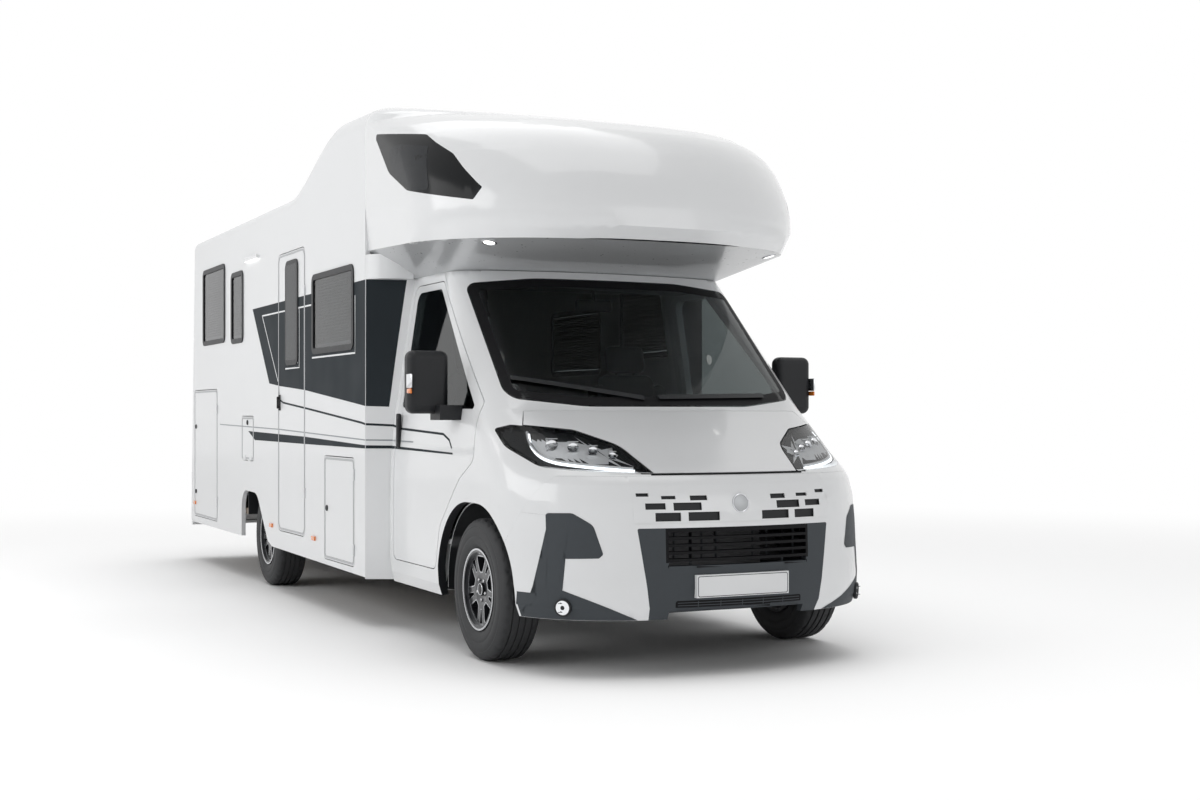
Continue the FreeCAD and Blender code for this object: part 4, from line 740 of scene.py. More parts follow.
@dataclass
class Panel:
    """Part of the bodywork that flat pieces are cut to and laid on."""

    body: str
    skin: Skin
    view: int
    low: Pair = (-9.0, 0.0)
    high: Pair = (9.0, 4.0)
    holes: Sequence[Sequence[float]] = ()
    cell: float = 9.0
    creases: Sequence[float] = ()

    def cut(self, outline: Sequence[Pair]) -> bmesh.types.BMesh:
        """Flat shape of an outline, cut to the panel and divided finely enough to bend.

        Args:
            outline: points (u, v) as seen from the panel's side.

        Returns:
            The shape, which is empty where no part of the outline is on the panel.
        """
        shape = bmesh.new()
        shape.faces.new([shape.verts.new((u, 0.0, v)) for u, v in outline])
        bmesh.ops.triangulate(shape, faces=shape.faces)
        for axis, way in ((0, Vector((1, 0, 0))), (1, Vector((0, 0, 1)))):
            self.trim(shape, way, self.low[axis], self.high[axis])
        for hole in self.holes:
            bmesh.ops.delete(shape, geom=self.inside(shape, 0, hole), context="FACES")
        for height in self.creases:
            self.slice(shape, 2, height)
        for axis in (0, 2) if shape.verts else ():
            values = [vertex.co[axis] for vertex in shape.verts]
            low, high = min(values), max(values)
            count = int((high - low) / self.cell) + 1
            for step in range(1, count):
                self.slice(shape, axis, low + step * (high - low) / count)
        return shape

    def laid(self, outline: Sequence[Pair], lift: float) -> Optional[bpy.types.Mesh]:
        """Cut an outline to the panel and lay it on the panel's skin.

        Args:
            outline: points (u, v) as seen from the panel's side.
            lift: distance above the skin.

        Returns:
            The mesh, or nothing where no part of it is on the panel.
        """
        shape = self.cut(outline)
        lost = []
        for vertex in shape.verts:
            met = self.skin.meet(self.view, vertex.co.x, vertex.co.z)
            if met is None:
                lost.append(vertex)
            else:
                vertex.co = met[0] + met[1] * lift
        bmesh.ops.delete(shape, geom=lost, context="VERTS")
        if not shape.faces:
            shape.free()
            return None
        ahead = Vector((0.0, self.view, 0.0)) if self.view else Vector((1.0, 0.0, 0.0))
        shape.normal_update()
        turned = [face for face in shape.faces if face.normal.dot(ahead) < 0]
        bmesh.ops.reverse_faces(shape, faces=turned)
        return baked(shape)

    def ringed(self, outer: Sequence[Pair], inner: Sequence[Pair], lift: float,
               rows: int = 2) -> bpy.types.Mesh:
        """Border between two outlines with as many points each, laid on the panel's skin.

        Args:
            outer: outline of the border's outside.
            inner: outline of its inside.
            lift: distance above the skin.
            rows: strips between the two.

        Returns:
            The mesh.
        """
        points = []
        for row in range(rows + 1):
            for a, b in zip(outer, inner):
                u, v = a[0] + (b[0] - a[0]) * row / rows, a[1] + (b[1] - a[1]) * row / rows
                met = self.skin.meet(self.view, u, v)
                points.append(met[0] + met[1] * lift if met else points[-1])
        return mesh_of(points, quads(len(outer), rows + 1))

    @staticmethod
    def inside(shape: bmesh.types.BMesh, axis: int, box: Sequence[float]) -> list[bmesh.types.BMFace]:
        """Cut a shape along the edges of a box.

        Args:
            shape: what is cut.
            axis: 0 where the box goes along, 1 where it goes across.
            box: its left, low, right and high edge.

        Returns:
            The faces inside the box.
        """
        left, low, right, high = box
        for way, value in ((axis, left), (axis, right), (2, low), (2, high)):
            Panel.slice(shape, way, value)
        return [face for face in shape.faces if left < face.calc_center_median()[axis] < right
                and low < face.calc_center_median().z < high]

    @staticmethod
    def slice(shape: bmesh.types.BMesh, axis: int, value: float) -> None:
        """Cut a flat shape along a line across an axis."""
        way = Vector((0.0, 0.0, 0.0))
        way[axis] = 1.0
        geometry = shape.verts[:] + shape.edges[:] + shape.faces[:]
        bmesh.ops.bisect_plane(shape, geom=geometry, plane_co=way * value, plane_no=way)

    @staticmethod
    def trim(shape: bmesh.types.BMesh, way: Vector, low: float, high: float) -> None:
        """Keep what lies between two values along a way."""
        for value, outer in ((low, False), (high, True)):
            geometry = shape.verts[:] + shape.edges[:] + shape.faces[:]
            bmesh.ops.bisect_plane(shape, geom=geometry, plane_co=way * value, plane_no=way,
                                   clear_outer=outer, clear_inner=not outer)


def lay(name: str, outlines: Iterable[Sequence[Pair]], panels: Iterable[Panel], finish: Finish,
        lift: float) -> None:
    """Lay outlines on panels, one piece to each body.

    Args:
        name: beginning of the names of the pieces.
        outlines: what is laid.
        panels: where it may go.
        finish: what it is made of.
        lift: distance above the skins.
    """
    kept: dict[str, list[bpy.types.Mesh]] = {}
    outlines = list(outlines)
    for panel in panels:
        for outline in outlines:
            mesh = panel.laid(outline, lift)
            if mesh is not None:
                kept.setdefault(panel.body, []).append(mesh)
    for body, meshes in kept.items():
        publish(f"{name}_{body}", meshes, finish, body)


@dataclass
class Studio:
    """Pale floor, even light and the camera at the photograph's place."""

    position: Triple = (7.579, -3.997, 1.272)
    aim: Triple = (-0.8989, 0.4383, 0.0)
    lens: float = 47.27
    shift: float = 0.0114
    dimmed: float = 0.38
    fade: Pair = (3.5, 13.0)
    sun: float = 1.5
    sun_spread: float = 75.0
    sun_tilt: Pair = (-8.0, -6.0)

    def build(self) -> None:
        """Set up world, floor, lamps and camera."""
        self.world()
        self.floor()
        self.lamps()
        self.camera()
        bpy.context.scene.view_settings.view_transform = "Standard"

    def world(self) -> None:
        """Even white world, plain white where it is looked at."""
        world = bpy.data.worlds.new("studio")
        bpy.context.scene.world = world
        world.use_nodes = True
        tree = world.node_tree
        background = tree.nodes["Background"]
        preset(background, {"Color": (1.0, 1.0, 1.0, 1.0)})
        rays = add(tree, "LightPath", {}).outputs
        seen = rays["Is Camera Ray"]
        for kind in ("Is Glossy Ray", "Is Transmission Ray"):
            seen = combine(tree, "MAXIMUM", seen, rays[kind])
        strength = add(tree, "MapRange", {"Value": seen, "To Min": self.dimmed, "To Max": 1.0})
        tree.links.new(strength.outputs["Result"], background.inputs["Strength"])

    def floor(self) -> None:
        """Wide floor that keeps the vehicle's shadow and fades to white away from it."""
        mesh = mesh_of([at(x, y, 0.0) for x, y in rectangle(-40, -40, 40, 40)], [[0, 1, 2, 3]])
        floor = added("floor", mesh)
        material = bpy.data.materials.new("pale floor")
        material.use_nodes = True
        tree = material.node_tree
        shader = tree.nodes["Principled BSDF"]
        preset(shader, {"Base Color": (0.86, 0.86, 0.86, 1.0), "Roughness": 0.9, "Specular IOR Level": 0.0})
        place = add(tree, "TexCoord", {}).outputs["Object"]
        reach = add(tree, "VectorMath", {0: place, 1: at(-1.8, 0.0, 0.0)},
                    operation="DISTANCE").outputs["Value"]
        near, far = self.fade
        fade = add(tree, "MapRange", {"Value": reach, "From Min": near, "From Max": far},
                   interpolation_type="SMOOTHSTEP").outputs["Result"]
        share = combine(tree, "MULTIPLY", add(tree, "LightPath", {}).outputs["Is Camera Ray"], fade)
        mix = add(tree, "MixShader",
                  {"Fac": share, 1: shader.outputs[0], 2: add(tree, "Emission", {}).outputs[0]})
        tree.links.new(mix.outputs[0], tree.nodes["Material Output"].inputs["Surface"])
        mesh.materials.append(material)
        sun = bpy.data.lights.new("floor sun", "SUN")
        sun.energy = self.sun
        sun.angle = math.radians(self.sun_spread)
        holder = added("floor sun", sun)
        holder.rotation_euler = (math.radians(self.sun_tilt[0]), math.radians(self.sun_tilt[1]), 0.0)
        lit = bpy.data.collections.new("lit floor")
        lit.objects.link(floor)
        holder.light_linking.receiver_collection = lit

    def lamps(self) -> None:
        """Soft lamps above, ahead and to the right."""
        for name, place, target, size, power in (
                ("overhead", (-2.0, 0.0, 8.5), (-2.0, 0.0, 0.0), (10.0, 6.0), 210.0),
                ("right bank", (-2.0, -9.0, 4.5), (-2.5, 0.0, 1.2), (9.0, 4.0), 230.0),
                ("front bank", (9.5, 3.5, 4.0), (0.0, 0.0, 1.2), (5.0, 4.0), 60.0)):
            lamp = bpy.data.lights.new(name, "AREA")
            lamp.shape = "RECTANGLE"
            lamp.size, lamp.size_y = size
            lamp.energy = power
            holder = added(name, lamp)
            holder.location = at(*place)
            holder.rotation_euler = (at(*target) - at(*place)).to_track_quat("-Z", "Y").to_euler()

    def camera(self) -> None:
        """Camera with the photograph's place, aim, lens and shift."""
        lens = bpy.data.cameras.new("photo view")
        lens.lens = self.lens
        lens.sensor_width = 36.0
        lens.shift_y = self.shift
        lens.clip_end = 200.0
        holder = added("photo view", lens)
        holder.location = at(*self.position)
        holder.rotation_euler = Vector(self.aim).to_track_quat("-Z", "Y").to_euler()
        bpy.context.scene.camera = holder


# Boxes as seen from ahead: the grille's openings, and the bumper's part that the vent cover stands in for.
GRILLE_BOX = (-0.404, 0.556, 0.404, 0.7215)
VENT_BOX = (-0.555, 0.744, 0.555, 0.925)


@dataclass
class Bodywork:
    """Finishes of the CAD nodes that are shown as they are."""

    dressed: dict[Finish, str] = field(default_factory=lambda: {
        PANEL_WHITE: "side_wall_right side_wall_left rear_wall roof_panel front_corner_panels entrance_door "
                     "garage_hatch service_hatch service_flap",
        BODY_WHITE: "overcab_shell rear_bumper cab_shell cab_fenders front_bumper bonnet cab_door_right "
                    "cab_door_left bumper_cladding",
        # The overcab's underside takes the grey with painted shade.
        CLADDING: "grille", SOFFIT_PAINTED_SHADE: "overcab_soffit", GLOSS_BLACK: "overcab_windows",
        WINDSCREEN_GLASS: "windscreen", DOOR_GLASS: "cab_door_glass_right cab_door_glass_left",
        DARK_ACRYLIC: "window_panes", BLIND: "window_blinds", DOME_ACRYLIC: "roof_skylights",
        LENS: "headlamps", RED_LENS: "rear_lamps", AMBER_LENS: "side_lamps", PLATE_WHITE: "number_plates",
        SEAT_CLOTH: "cab_seats", FLOOR_VINYL: "floor_panel", GALVANISED: "chassis_frame exhaust",
        TYRE: "tyre_front_right tyre_front_left tyre_rear_right tyre_rear_left",
        CHASSIS_STEEL: "front_subframe front_struts rear_axle",
        CAST_IRON: "engine_block knuckle_right knuckle_left",
        BLACK_PLASTIC: "window_frames entrance_door_window mirror_right mirror_left wipers dashboard "
                       "wheel_housings underfloor_tanks"})
    curved: Sequence[str] = ("overcab_shell", "overcab_soffit", "cab_shell", "cab_fenders", "front_bumper",
                             "bumper_cladding", "bonnet", "cab_door_right", "cab_door_left", "roof_panel",
                             "overcab_windows", "grille")

    arch_reach: float = 0.515
    arch_shift: float = 0.048
    arch_top: float = 0.83
    bay_width: float = 0.93
    bay_depth: float = 0.7

    def smoothed(self, name: str, finish: Finish) -> None:
        """Stand a copy with shared corners, which shades smoothly, in place of a curved node.

        Args:
            name: the node.
            finish: what it is made of.
        """
        shape = copied(name)
        if name == "grille":
            Panel.inside(shape, 1, GRILLE_BOX)
        if name == "front_bumper":
            bmesh.ops.delete(shape, geom=Panel.inside(shape, 1, VENT_BOX), context="FACES")
        mesh = baked(shape)
        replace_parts(publish(f"{name}_smooth", mesh, finish, body_of(frame["nodes"][name])[0], 0.42), name)
        left, low, right, high = GRILLE_BOX

        def in_arch(face: bpy.types.MeshPolygon) -> bool:
            """Whether a face is inside a wheel arch, or in the bay behind the bumper."""
            centre = face.center
            away = math.hypot(centre.x - FRONT_AXLE + self.arch_shift, max(0.0, centre.z - WHEEL_HEIGHT))
            in_bay = (name == "cab_shell" and abs(centre.y) < self.bay_width
                      and centre.x > FRONT_AXLE - self.bay_depth)
            return centre.z < self.arch_top and (in_bay or (away < self.arch_reach
                                                            and abs(face.normal.y) < 0.6))

        # Deep black inside the grille's openings: the grille's own dark plastic together with painted shade
        # of the void behind it.
        if name == "grille":
            repaint(mesh, DEEP_BLACK,
                    lambda face: left < face.center.y < right and low < face.center.z < high)
        if name in ("cab_shell", "cab_fenders"):
            repaint(mesh, BLACK_PLASTIC, in_arch)

    def build(self) -> None:
        """Give each node its finish."""
        finishes = {name: finish for finish, names in self.dressed.items() for name in names.split()}
        for name, node in frame["nodes"].items():
            finish = finishes.get(name, WHEEL_DARK)
            if name in self.curved:
                self.smoothed(name, finish)
            node.data.materials.clear()
            node.data.materials.append(finish.material())
            node.data.shade_smooth()
            node.data.set_sharp_from_angle(angle=0.5)
            log.info("dressed %s in %s", name, finish.name)


RIGHT_WINDOWS = ((-5.955, 1.860, -5.155, 2.470), (-4.905, 1.835, -4.530, 2.365),
                 (-2.570, 1.675, -1.675, 2.170))
LEFT_WINDOWS = ((-5.955, 1.860, -5.155, 2.470), (-3.785, 1.575, -2.915, 2.045),
                (-2.570, 1.675, -1.675, 2.170))
DOOR_FRAME = (-3.465, 0.450, -2.765, 2.390)
FLAP_FRAME = (-4.570, 0.920, -4.190, 1.250)


@dataclass
class Graphics:
    """Foils on the sides: the dark field round the windows, and the stripes."""

    field: Sequence[Pair] = ((-4.222, 2.057), (-1.376, 2.069), (-1.394, 1.949), (-1.383, 1.571),
                             (-1.382, 1.313), (-2.765, 1.430), (-3.418, 1.467), (-3.720, 1.491))
    stripe: Sequence[Pair] = ((-4.359, 1.140), (-2.765, 1.118), (-1.306, 1.081), (-0.342, 1.063),
                              (-0.341, 1.053), (-1.305, 1.065), (-2.765, 1.069), (-4.149, 1.075))
    drop: Sequence[Pair] = ((-3.452, 1.466), (-3.430, 1.372), (-3.327, 1.349), (-2.723, 1.307),
                            (-1.510, 1.218), (-1.212, 1.184), (-0.507, 1.161), (-0.408, 1.130),
                            (-0.362, 1.086))
    hairline: Sequence[Pair] = ((-5.331, 1.185), (-3.418, 1.161), (-1.314, 1.113), (-0.987, 1.110))
    highlights: Sequence[Sequence[Pair]] = (
        ((-3.930, 1.990), (-2.590, 1.990)), ((-3.925, 1.990), (-3.470, 1.500)),
        ((-2.905, 1.990), (-2.905, 1.585), (-3.270, 1.585)),
        ((-1.640, 1.990), (-1.640, 1.640), (-2.590, 1.640)))

    def panels(self, side: int) -> list[Panel]:
        """Panels of one side, from the rear to the cab door.

        Args:
            side: -1 on the right, 1 on the left.

        Returns:
            The panels with their windows and doors cut out.
        """
        name = "right" if side < 0 else "left"
        windows = RIGHT_WINDOWS if side < 0 else LEFT_WINDOWS
        panels = [Panel("coach", Skin("front_corner_panels"), side, (-1.4385, 0.3), (-1.366, 3.0), cell=0.04),
                  Panel("coach", Skin("cab_shell"), side, (-1.3635, 1.0), (-1.3065, 2.06), cell=0.04),
                  Panel(f"cab_door_{name}", Skin(f"cab_door_{name}"), side, (-1.298, 0.9), (-0.05, 1.30),
                        cell=0.05)]
        if side > 0:
            return panels + [Panel("coach", Wall(), side, high=(-1.4405, 3.0), holes=windows)]
        return panels + [
            Panel("coach", Wall(), side, high=(-1.4405, 3.0), holes=(*windows, DOOR_FRAME, FLAP_FRAME)),
            Panel("entrance_door", Wall(), side, (-3.457, 0.46), (-2.773, 2.38),
                  holes=((-3.245, 1.615, -2.940, 2.320),)),
            Panel("service_flap", Wall(), side, (-4.562, 0.93), (-4.198, 1.24))]

    def build(self) -> None:
        """Lay the foils on both sides."""
        panels = self.panels(-1) + self.panels(1)
        walls = [panel for panel in panels if isinstance(panel.skin, Wall)]
        lay("dark_field", [self.field], panels, GRAPHITE_FOIL, FOIL_LIFT)
        lay("dark_stripe", [self.stripe, band(self.drop, 0.013)], panels, GRAPHITE_FOIL, FOIL_LIFT)
        lay("grey_hairline", [band(self.hairline, 0.008)], panels, GREY_FOIL, FOIL_LIFT)
        for side, paths in ((-1, self.highlights), (1, self.highlights[-1:])):
            sheets = [panel for panel in walls if panel.view == side]
            label = "right" if side < 0 else "left"
            lay(f"white_lines_{label}", [band(path, 0.011) for path in paths], sheets, WHITE_FOIL, 0.0011)


@dataclass
class Wheels:
    """Treaded tyres, and the polished trim, bolts and caps of the rims."""

    front_track: float = 0.900
    rear_track: float = 0.980
    face: float = 0.083
    lip: float = 0.104
    flank: Sequence[Pair] = (
        (0.2036, 0.0945), (0.2135, 0.0950), (0.2250, 0.1040), (0.2400, 0.1095), (0.2560, 0.1120),
        (0.2700, 0.1123), (0.2720, 0.1113), (0.2750, 0.1113), (0.2770, 0.1122), (0.3000, 0.1118),
        (0.3180, 0.1085), (0.3200, 0.1072), (0.3230, 0.1070), (0.3250, 0.1078), (0.3380, 0.1035),
        (0.3480, 0.0985), (0.3560, 0.0920), (0.3615, 0.0850), (0.3645, 0.0780), (0.3655, 0.0640))
    ribs: Sequence[Pair] = (
        (0.3655, 0.0600), (0.3580, 0.0590), (0.3580, 0.0510), (0.3657, 0.0500), (0.3659, 0.0220),
        (0.3582, 0.0210), (0.3582, 0.0130), (0.3659, 0.0120))
    segments: int = 180
    shoulder: Pair = (0.0615, 0.0975)
    groove: float = 0.0055
    spokes: int = 5

    def build(self) -> None:
        """Dress the four wheels."""
        for end, x, track in (("front", 0.0, self.front_track), ("rear", REAR_AXLE, self.rear_track)):
            for name, side in SIDES:
                centre = at(x, side * track, WHEEL_HEIGHT)
                self.tyre(f"{end}_{name}", centre)
                self.edges(f"{end}_{name}", centre, side)
                self.cap(f"{end}_{name}", centre, side)

    def tyre(self, name: str, centre: Vector) -> None:
        """Tyre with ribs across its width and blocks at its shoulders.

        Args:
            name: which wheel.
            centre: middle of the wheel.
        """
        half = [*self.flank, *self.ribs]
        profile = half + [(radius, -width) for radius, width in reversed(half)]
        mesh = lathe(profile, centre, Vector((0, 1, 0)), self.segments, closed=True)
        for vertex in mesh.vertices:
            arm = vertex.co - centre
            away, turn = abs(arm.y), math.atan2(arm.z, arm.x)
            reach = math.hypot(arm.x, arm.z)
            step = round(turn / (2 * math.pi) * self.segments)
            if self.shoulder[0] < away < self.shoulder[1] and reach > 0.345 and step % 5 == 0:
                scale = (reach - self.groove) / reach
                vertex.co = centre + Vector((arm.x * scale, arm.y, arm.z * scale))
        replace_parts(publish(f"tread_{name}", mesh, TYRE, f"wheel_{name}", 0.5), f"tyre_{name}")

    def edges(self, name: str, centre: Vector, side: int) -> None:
        """Bright edges of the rim's windows and lip, and the bolts.

        Args:
            name: which wheel.
            centre: middle of the wheel.
            side: -1 on the right, 1 on the left.
        """
        def place(u: float, v: float, depth: float) -> Vector:
            return centre + Vector((u, side * depth, v))

        bright = []
        for step in range(self.spokes):
            for inner, outer, near, far, radius, middle, edge in (
                    (0.092, 0.179, 11.0, 20.0, 0.012, 90.0, 0.0045),
                    (0.106, 0.179, 3.5, 5.5, 0.004, 54.0, 0.003)):
                corners = []
                for reach, angle in ((inner, -near), (outer, -far), (outer, far), (inner, near)):
                    turn = math.radians(middle + 360 // self.spokes * step + angle)
                    corners.append((reach * math.cos(turn), reach * math.sin(turn), radius))
                window = rounded(corners, 6)
                bright.append(frame_strip(shrunk(window, -edge), shrunk(window, -0.0002), place,
                                          self.face + 0.0002, self.face + 0.0012))
        for inner, outer, depth in ((0.1822, 0.1888, self.face), (0.2020, 0.2110, self.lip)):
            bright.append(frame_strip(circle(outer, 96), circle(inner, 96), place, depth - 0.0006,
                                      depth + 0.0009))
        publish(f"rim_edges_{name}", bright, TURNED_ALLOY, f"wheel_{name}")
        bolts = []
        for step in range(self.spokes):
            turn = math.radians(54 + 360 // self.spokes * step)
            middle = (0.0555 * math.cos(turn), 0.0555 * math.sin(turn))
            bolts.append(prism(circle(0.0095, 6, middle), place, self.face - 0.012, self.face + 0.004, 0.002))
        publish(f"wheel_bolts_{name}", bolts, BRAKE_STEEL, f"wheel_{name}", 0.4)

    def cap(self, name: str, centre: Vector, side: int) -> None:
        """Plain cap with a bright ring.

        Args:
            name: which wheel.
            centre: middle of the wheel.
            side: -1 on the right, 1 on the left.
        """
        axis = Vector((0, side, 0))
        disc = lathe([(0.034, self.face - 0.010), (0.034, self.face + 0.004), (0.031, self.face + 0.007),
                      (0.026, self.face + 0.0075), (0.0, self.face + 0.0085)], centre, axis, 48)
        publish(f"wheel_cap_{name}", disc, GLOSS_BLACK, f"wheel_{name}")
        ring = lathe([(0.0315, self.face + 0.0072), (0.0300, self.face + 0.0088),
                      (0.0280, self.face + 0.0088), (0.0270, self.face + 0.0074)], centre, axis, 48,
                     closed=True)
        publish(f"cap_ring_{name}", ring, TURNED_ALLOY, f"wheel_{name}")


@dataclass
class Headlamps:
    """Clear lens over a dark bucket with a daylight strip and three projectors."""

    depth: float = 0.034
    strip: Sequence[Pair] = ((0.852, 1.172), (0.868, 1.120), (0.858, 1.062), (0.815, 1.034), (0.745, 1.022),
                             (0.660, 1.012), (0.570, 1.004), (0.490, 0.998))
    projectors: Sequence[Pair] = ((0.785, 1.112), (0.700, 1.102), (0.620, 1.086), (0.545, 1.062))

    facing: float = 0.35
    bowl: float = 0.0315
    bowl_step: float = 0.0035
    aim: Triple = (0.92, 0.38, 0.05)

    def outer_faces(self) -> bmesh.types.BMesh:
        """Faces of the lamp node that look outwards and that nothing of it hides."""
        shape = copied("headlamps")
        shape.normal_update()
        solid = BVHTree.FromBMesh(shape)
        middle = at(-0.4, 0.0, 0.75)
        inner = []
        for face in shape.faces:
            centre = face.calc_center_median()
            away = (centre - middle).normalized()
            blocked = solid.ray_cast(centre + face.normal * 0.002, away)[0]
            if face.normal.dot(away) < self.facing or blocked is not None:
                inner.append(face)
        bmesh.ops.delete(shape, geom=inner, context="FACES")
        shape.normal_update()
        return shape

    def build(self) -> None:
        """Build lenses and buckets of both lamps, and then their lights."""
        shape = self.outer_faces()
        lens = bpy.data.meshes.new("lamp_lens")
        shape.to_mesh(lens)
        shift = {vertex: vertex.normal * -self.depth for vertex in shape.verts}
        rim = [edge for edge in shape.edges if edge.is_boundary]
        copies = bmesh.ops.duplicate(shape, geom=shape.verts[:] + shape.edges[:] + shape.faces[:])
        twin = copies["vert_map"]
        for vertex, move in shift.items():
            twin[vertex].co = vertex.co + move
        walls = [[edge.verts[0], edge.verts[1], twin[edge.verts[1]], twin[edge.verts[0]]] for edge in rim]
        outer = [face for face in shape.faces if all(vertex in shift for vertex in face.verts)]
        for wall in walls:
            shape.faces.new(wall)
        bmesh.ops.delete(shape, geom=outer, context="FACES_ONLY")
        bucket = baked(shape)
        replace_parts(publish("headlamp_lenses", lens, LENS, "coach", 0.5), "headlamps")
        publish("headlamp_buckets", bucket, GLOSS_BLACK, "coach", 0.5)

        def bright(face: bpy.types.MeshPolygon) -> bool:
            """Whether a face is in the bucket's middle, above the daylight strip."""
            y, z = abs(face.center.y), face.center.z
            low, high = 1.015 + max(0.0, y - 0.60) * 0.12, 1.13 - max(0.0, 0.74 - y) * 0.22
            return 0.50 < y < 0.835 and low < z < high

        repaint(bucket, GALVANISED, bright)
        self.lights()

    def lights(self) -> None:
        """Daylight strips, projectors and bright shelves behind the lenses."""
        skin = Skin("headlamps")
        strips, bowls, globes, shelves = [], [], [], []
        for side in (-1, 1):
            path = []
            for y, z in self.strip:
                met = skin.meet(0, side * y, z)
                if met:
                    path.append(met[0] - met[1] * 0.010)
            path = self.eased(path)
            strips.append(tube(path, 0.0085, 10))
            shelves.append(tube([point - Vector((0.016, 0.0, -0.012)) for point in path], 0.009, 8))
            for index, (y, z) in enumerate(self.projectors):
                met = skin.meet(0, side * y, z)
                if not met:
                    continue
                axis = Vector((self.aim[0], side * self.aim[1], self.aim[2])).normalized()
                size = self.bowl - self.bowl_step * index
                base = met[0] - axis * 0.026
                for lower in (False, True):
                    spot = base - Vector((0.004, 0.0, size * 1.6)) if lower else base
                    bowls.append(lathe([(size * 0.92, 0.010), (size, 0.006), (size * 0.9, 0.002),
                                        (size * 0.6, -0.006), (0.0, -0.008)], spot, axis, 28))
                    globes.append(lathe([(size * 0.55, -0.005), (size * 0.53, 0.003), (size * 0.38, 0.010),
                                         (size * 0.2, 0.013), (0.0, 0.014)], spot, axis, 24))
                shelves.append(block(base - axis * 0.006 + Vector((0.0, 0.0, size * 1.15)),
                                     (0.016, size * 2.0, 0.005), 0.002))
        publish("daylight_strips", strips, DAYLIGHT, "coach")
        publish("lamp_bowls", bowls, REFLECTOR, "coach")
        publish("lamp_globes", globes, GALVANISED, "coach")
        publish("lamp_shelves", shelves, GALVANISED, "coach")

    @staticmethod
    def eased(path: Sequence[Vector]) -> list[Vector]:
        """Path with its corners rounded by cutting them twice.

        Args:
            path: points of the path.

        Returns:
            More points, from the same start to the same end.
        """
        for _ in range(2):
            cut = [path[0]]
            for here, after in zip(path, path[1:]):
                cut += [here.lerp(after, 0.25), here.lerp(after, 0.75)]
            path = cut + [path[-1]]
        return list(path)


@dataclass
class VentCover:
    """Smooth cover over the upper bumper, with dark slots let into it."""

    slots: Sequence[Sequence[float]] = (
        (0.180, 0.853, 0.270, 0.876), (0.343, 0.860, 0.415, 0.876), (0.475, 0.874, 0.535, 0.890),
        (0.213, 0.806, 0.358, 0.843), (0.397, 0.812, 0.497, 0.842), (0.120, 0.755, 0.285, 0.797),
        (0.323, 0.755, 0.451, 0.796))
    middle: float = 0.83
    stray: float = 0.006
    cell: float = 0.03
    cover_depths: Pair = (0.0006, -0.003)
    slot_depths: Pair = (-0.010, -0.014)

    def __post_init__(self) -> None:
        """Fit a surface to the bumper's skin, without what strays from it."""
        skin = Skin("front_bumper")
        samples = []
        for z in (0.745 + 0.022 * row for row in range(9)):
            for y in (-0.56 + 0.02 * column for column in range(57)):
                met = skin.meet(0, y, z)
                if met is not None and met[1].x > 0.2 and met[0].x > FRONT_AXLE + 0.70:
                    samples.append((self.terms(y, z), met[0].x))
        for _ in range(2):
            rows = numpy.array([row for row, _ in samples])
            self.weights = numpy.linalg.lstsq(rows, numpy.array([x for _, x in samples]), rcond=None)[0]
            samples = [(row, x) for row, x in samples
                       if abs(float(numpy.dot(row, self.weights)) - x) < self.stray]

    def terms(self, y: float, z: float) -> list[float]:
        """Powers of a place that the fitted surface is summed from."""
        return [y ** a * (z - self.middle) ** b for a in (0, 2, 4, 6, 8) for b in (0, 1, 2)]

    def sheets(self, boxes: Iterable[Sequence[float]], depths: Pair) -> list[bpy.types.Mesh]:
        """Curved plates that follow the fitted surface.

        Args:
            boxes: left, low, right and high edge of each plate.
            depths: where its front and its back are, from the surface.

        Returns:
            A closed mesh for each plate.
        """
        plates = []
        for left, low, right, high in boxes:
            across, up = max(1, round((right - left) / self.cell)), max(1, round((high - low) / self.cell))
            points, faces = [], []
            for depth in depths:
                for row in range(up + 1):
                    for column in range(across + 1):
                        y, z = left + (right - left) * column / across, low + (high - low) * row / up
                        x = float(numpy.dot(self.terms(y, z), self.weights)) + depth
                        points.append(Vector((x, y, z)))
            wide, layer = across + 1, (across + 1) * (up + 1)
            for quad in quads(wide, up + 1, ring=False):
                faces += [quad, [layer + corner for corner in reversed(quad)]]
            rim = [*range(across), *[row * wide + across for row in range(up)],
                   *[up * wide + column for column in range(across, 0, -1)],
                   *[row * wide for row in range(up, 0, -1)]]
            faces += [[corner, after, layer + after, layer + corner]
                      for corner, after in zip(rim, rim[1:] + rim[:1])]
            plates.append(mesh_of(points, faces))
        return plates

    def build(self) -> None:
        """Build the cover round the slots, and the slots' dark backs."""
        left_edge, low_edge, right_edge, high_edge = VENT_BOX
        holes = [*self.slots, *[(-right, low, -left, high) for left, low, right, high in self.slots]]
        columns = sorted({left_edge, right_edge, *[hole[side] for hole in holes for side in (0, 2)]})
        levels = sorted({low_edge, high_edge, *[hole[side] for hole in holes for side in (1, 3)]})
        cover = [(left, low, right, high) for left, right in zip(columns, columns[1:])
                 for low, high in zip(levels, levels[1:])
                 if not any(hole[0] < (left + right) / 2 < hole[2] and hole[1] < (low + high) / 2 < hole[3]
                            for hole in holes)]
        publish("vent_cover", self.sheets(cover, self.cover_depths), BODY_WHITE, "coach", 0.6)
        publish("vent_slots", self.sheets(holes, self.slot_depths), BLACK_PLASTIC, "coach", 0.6)


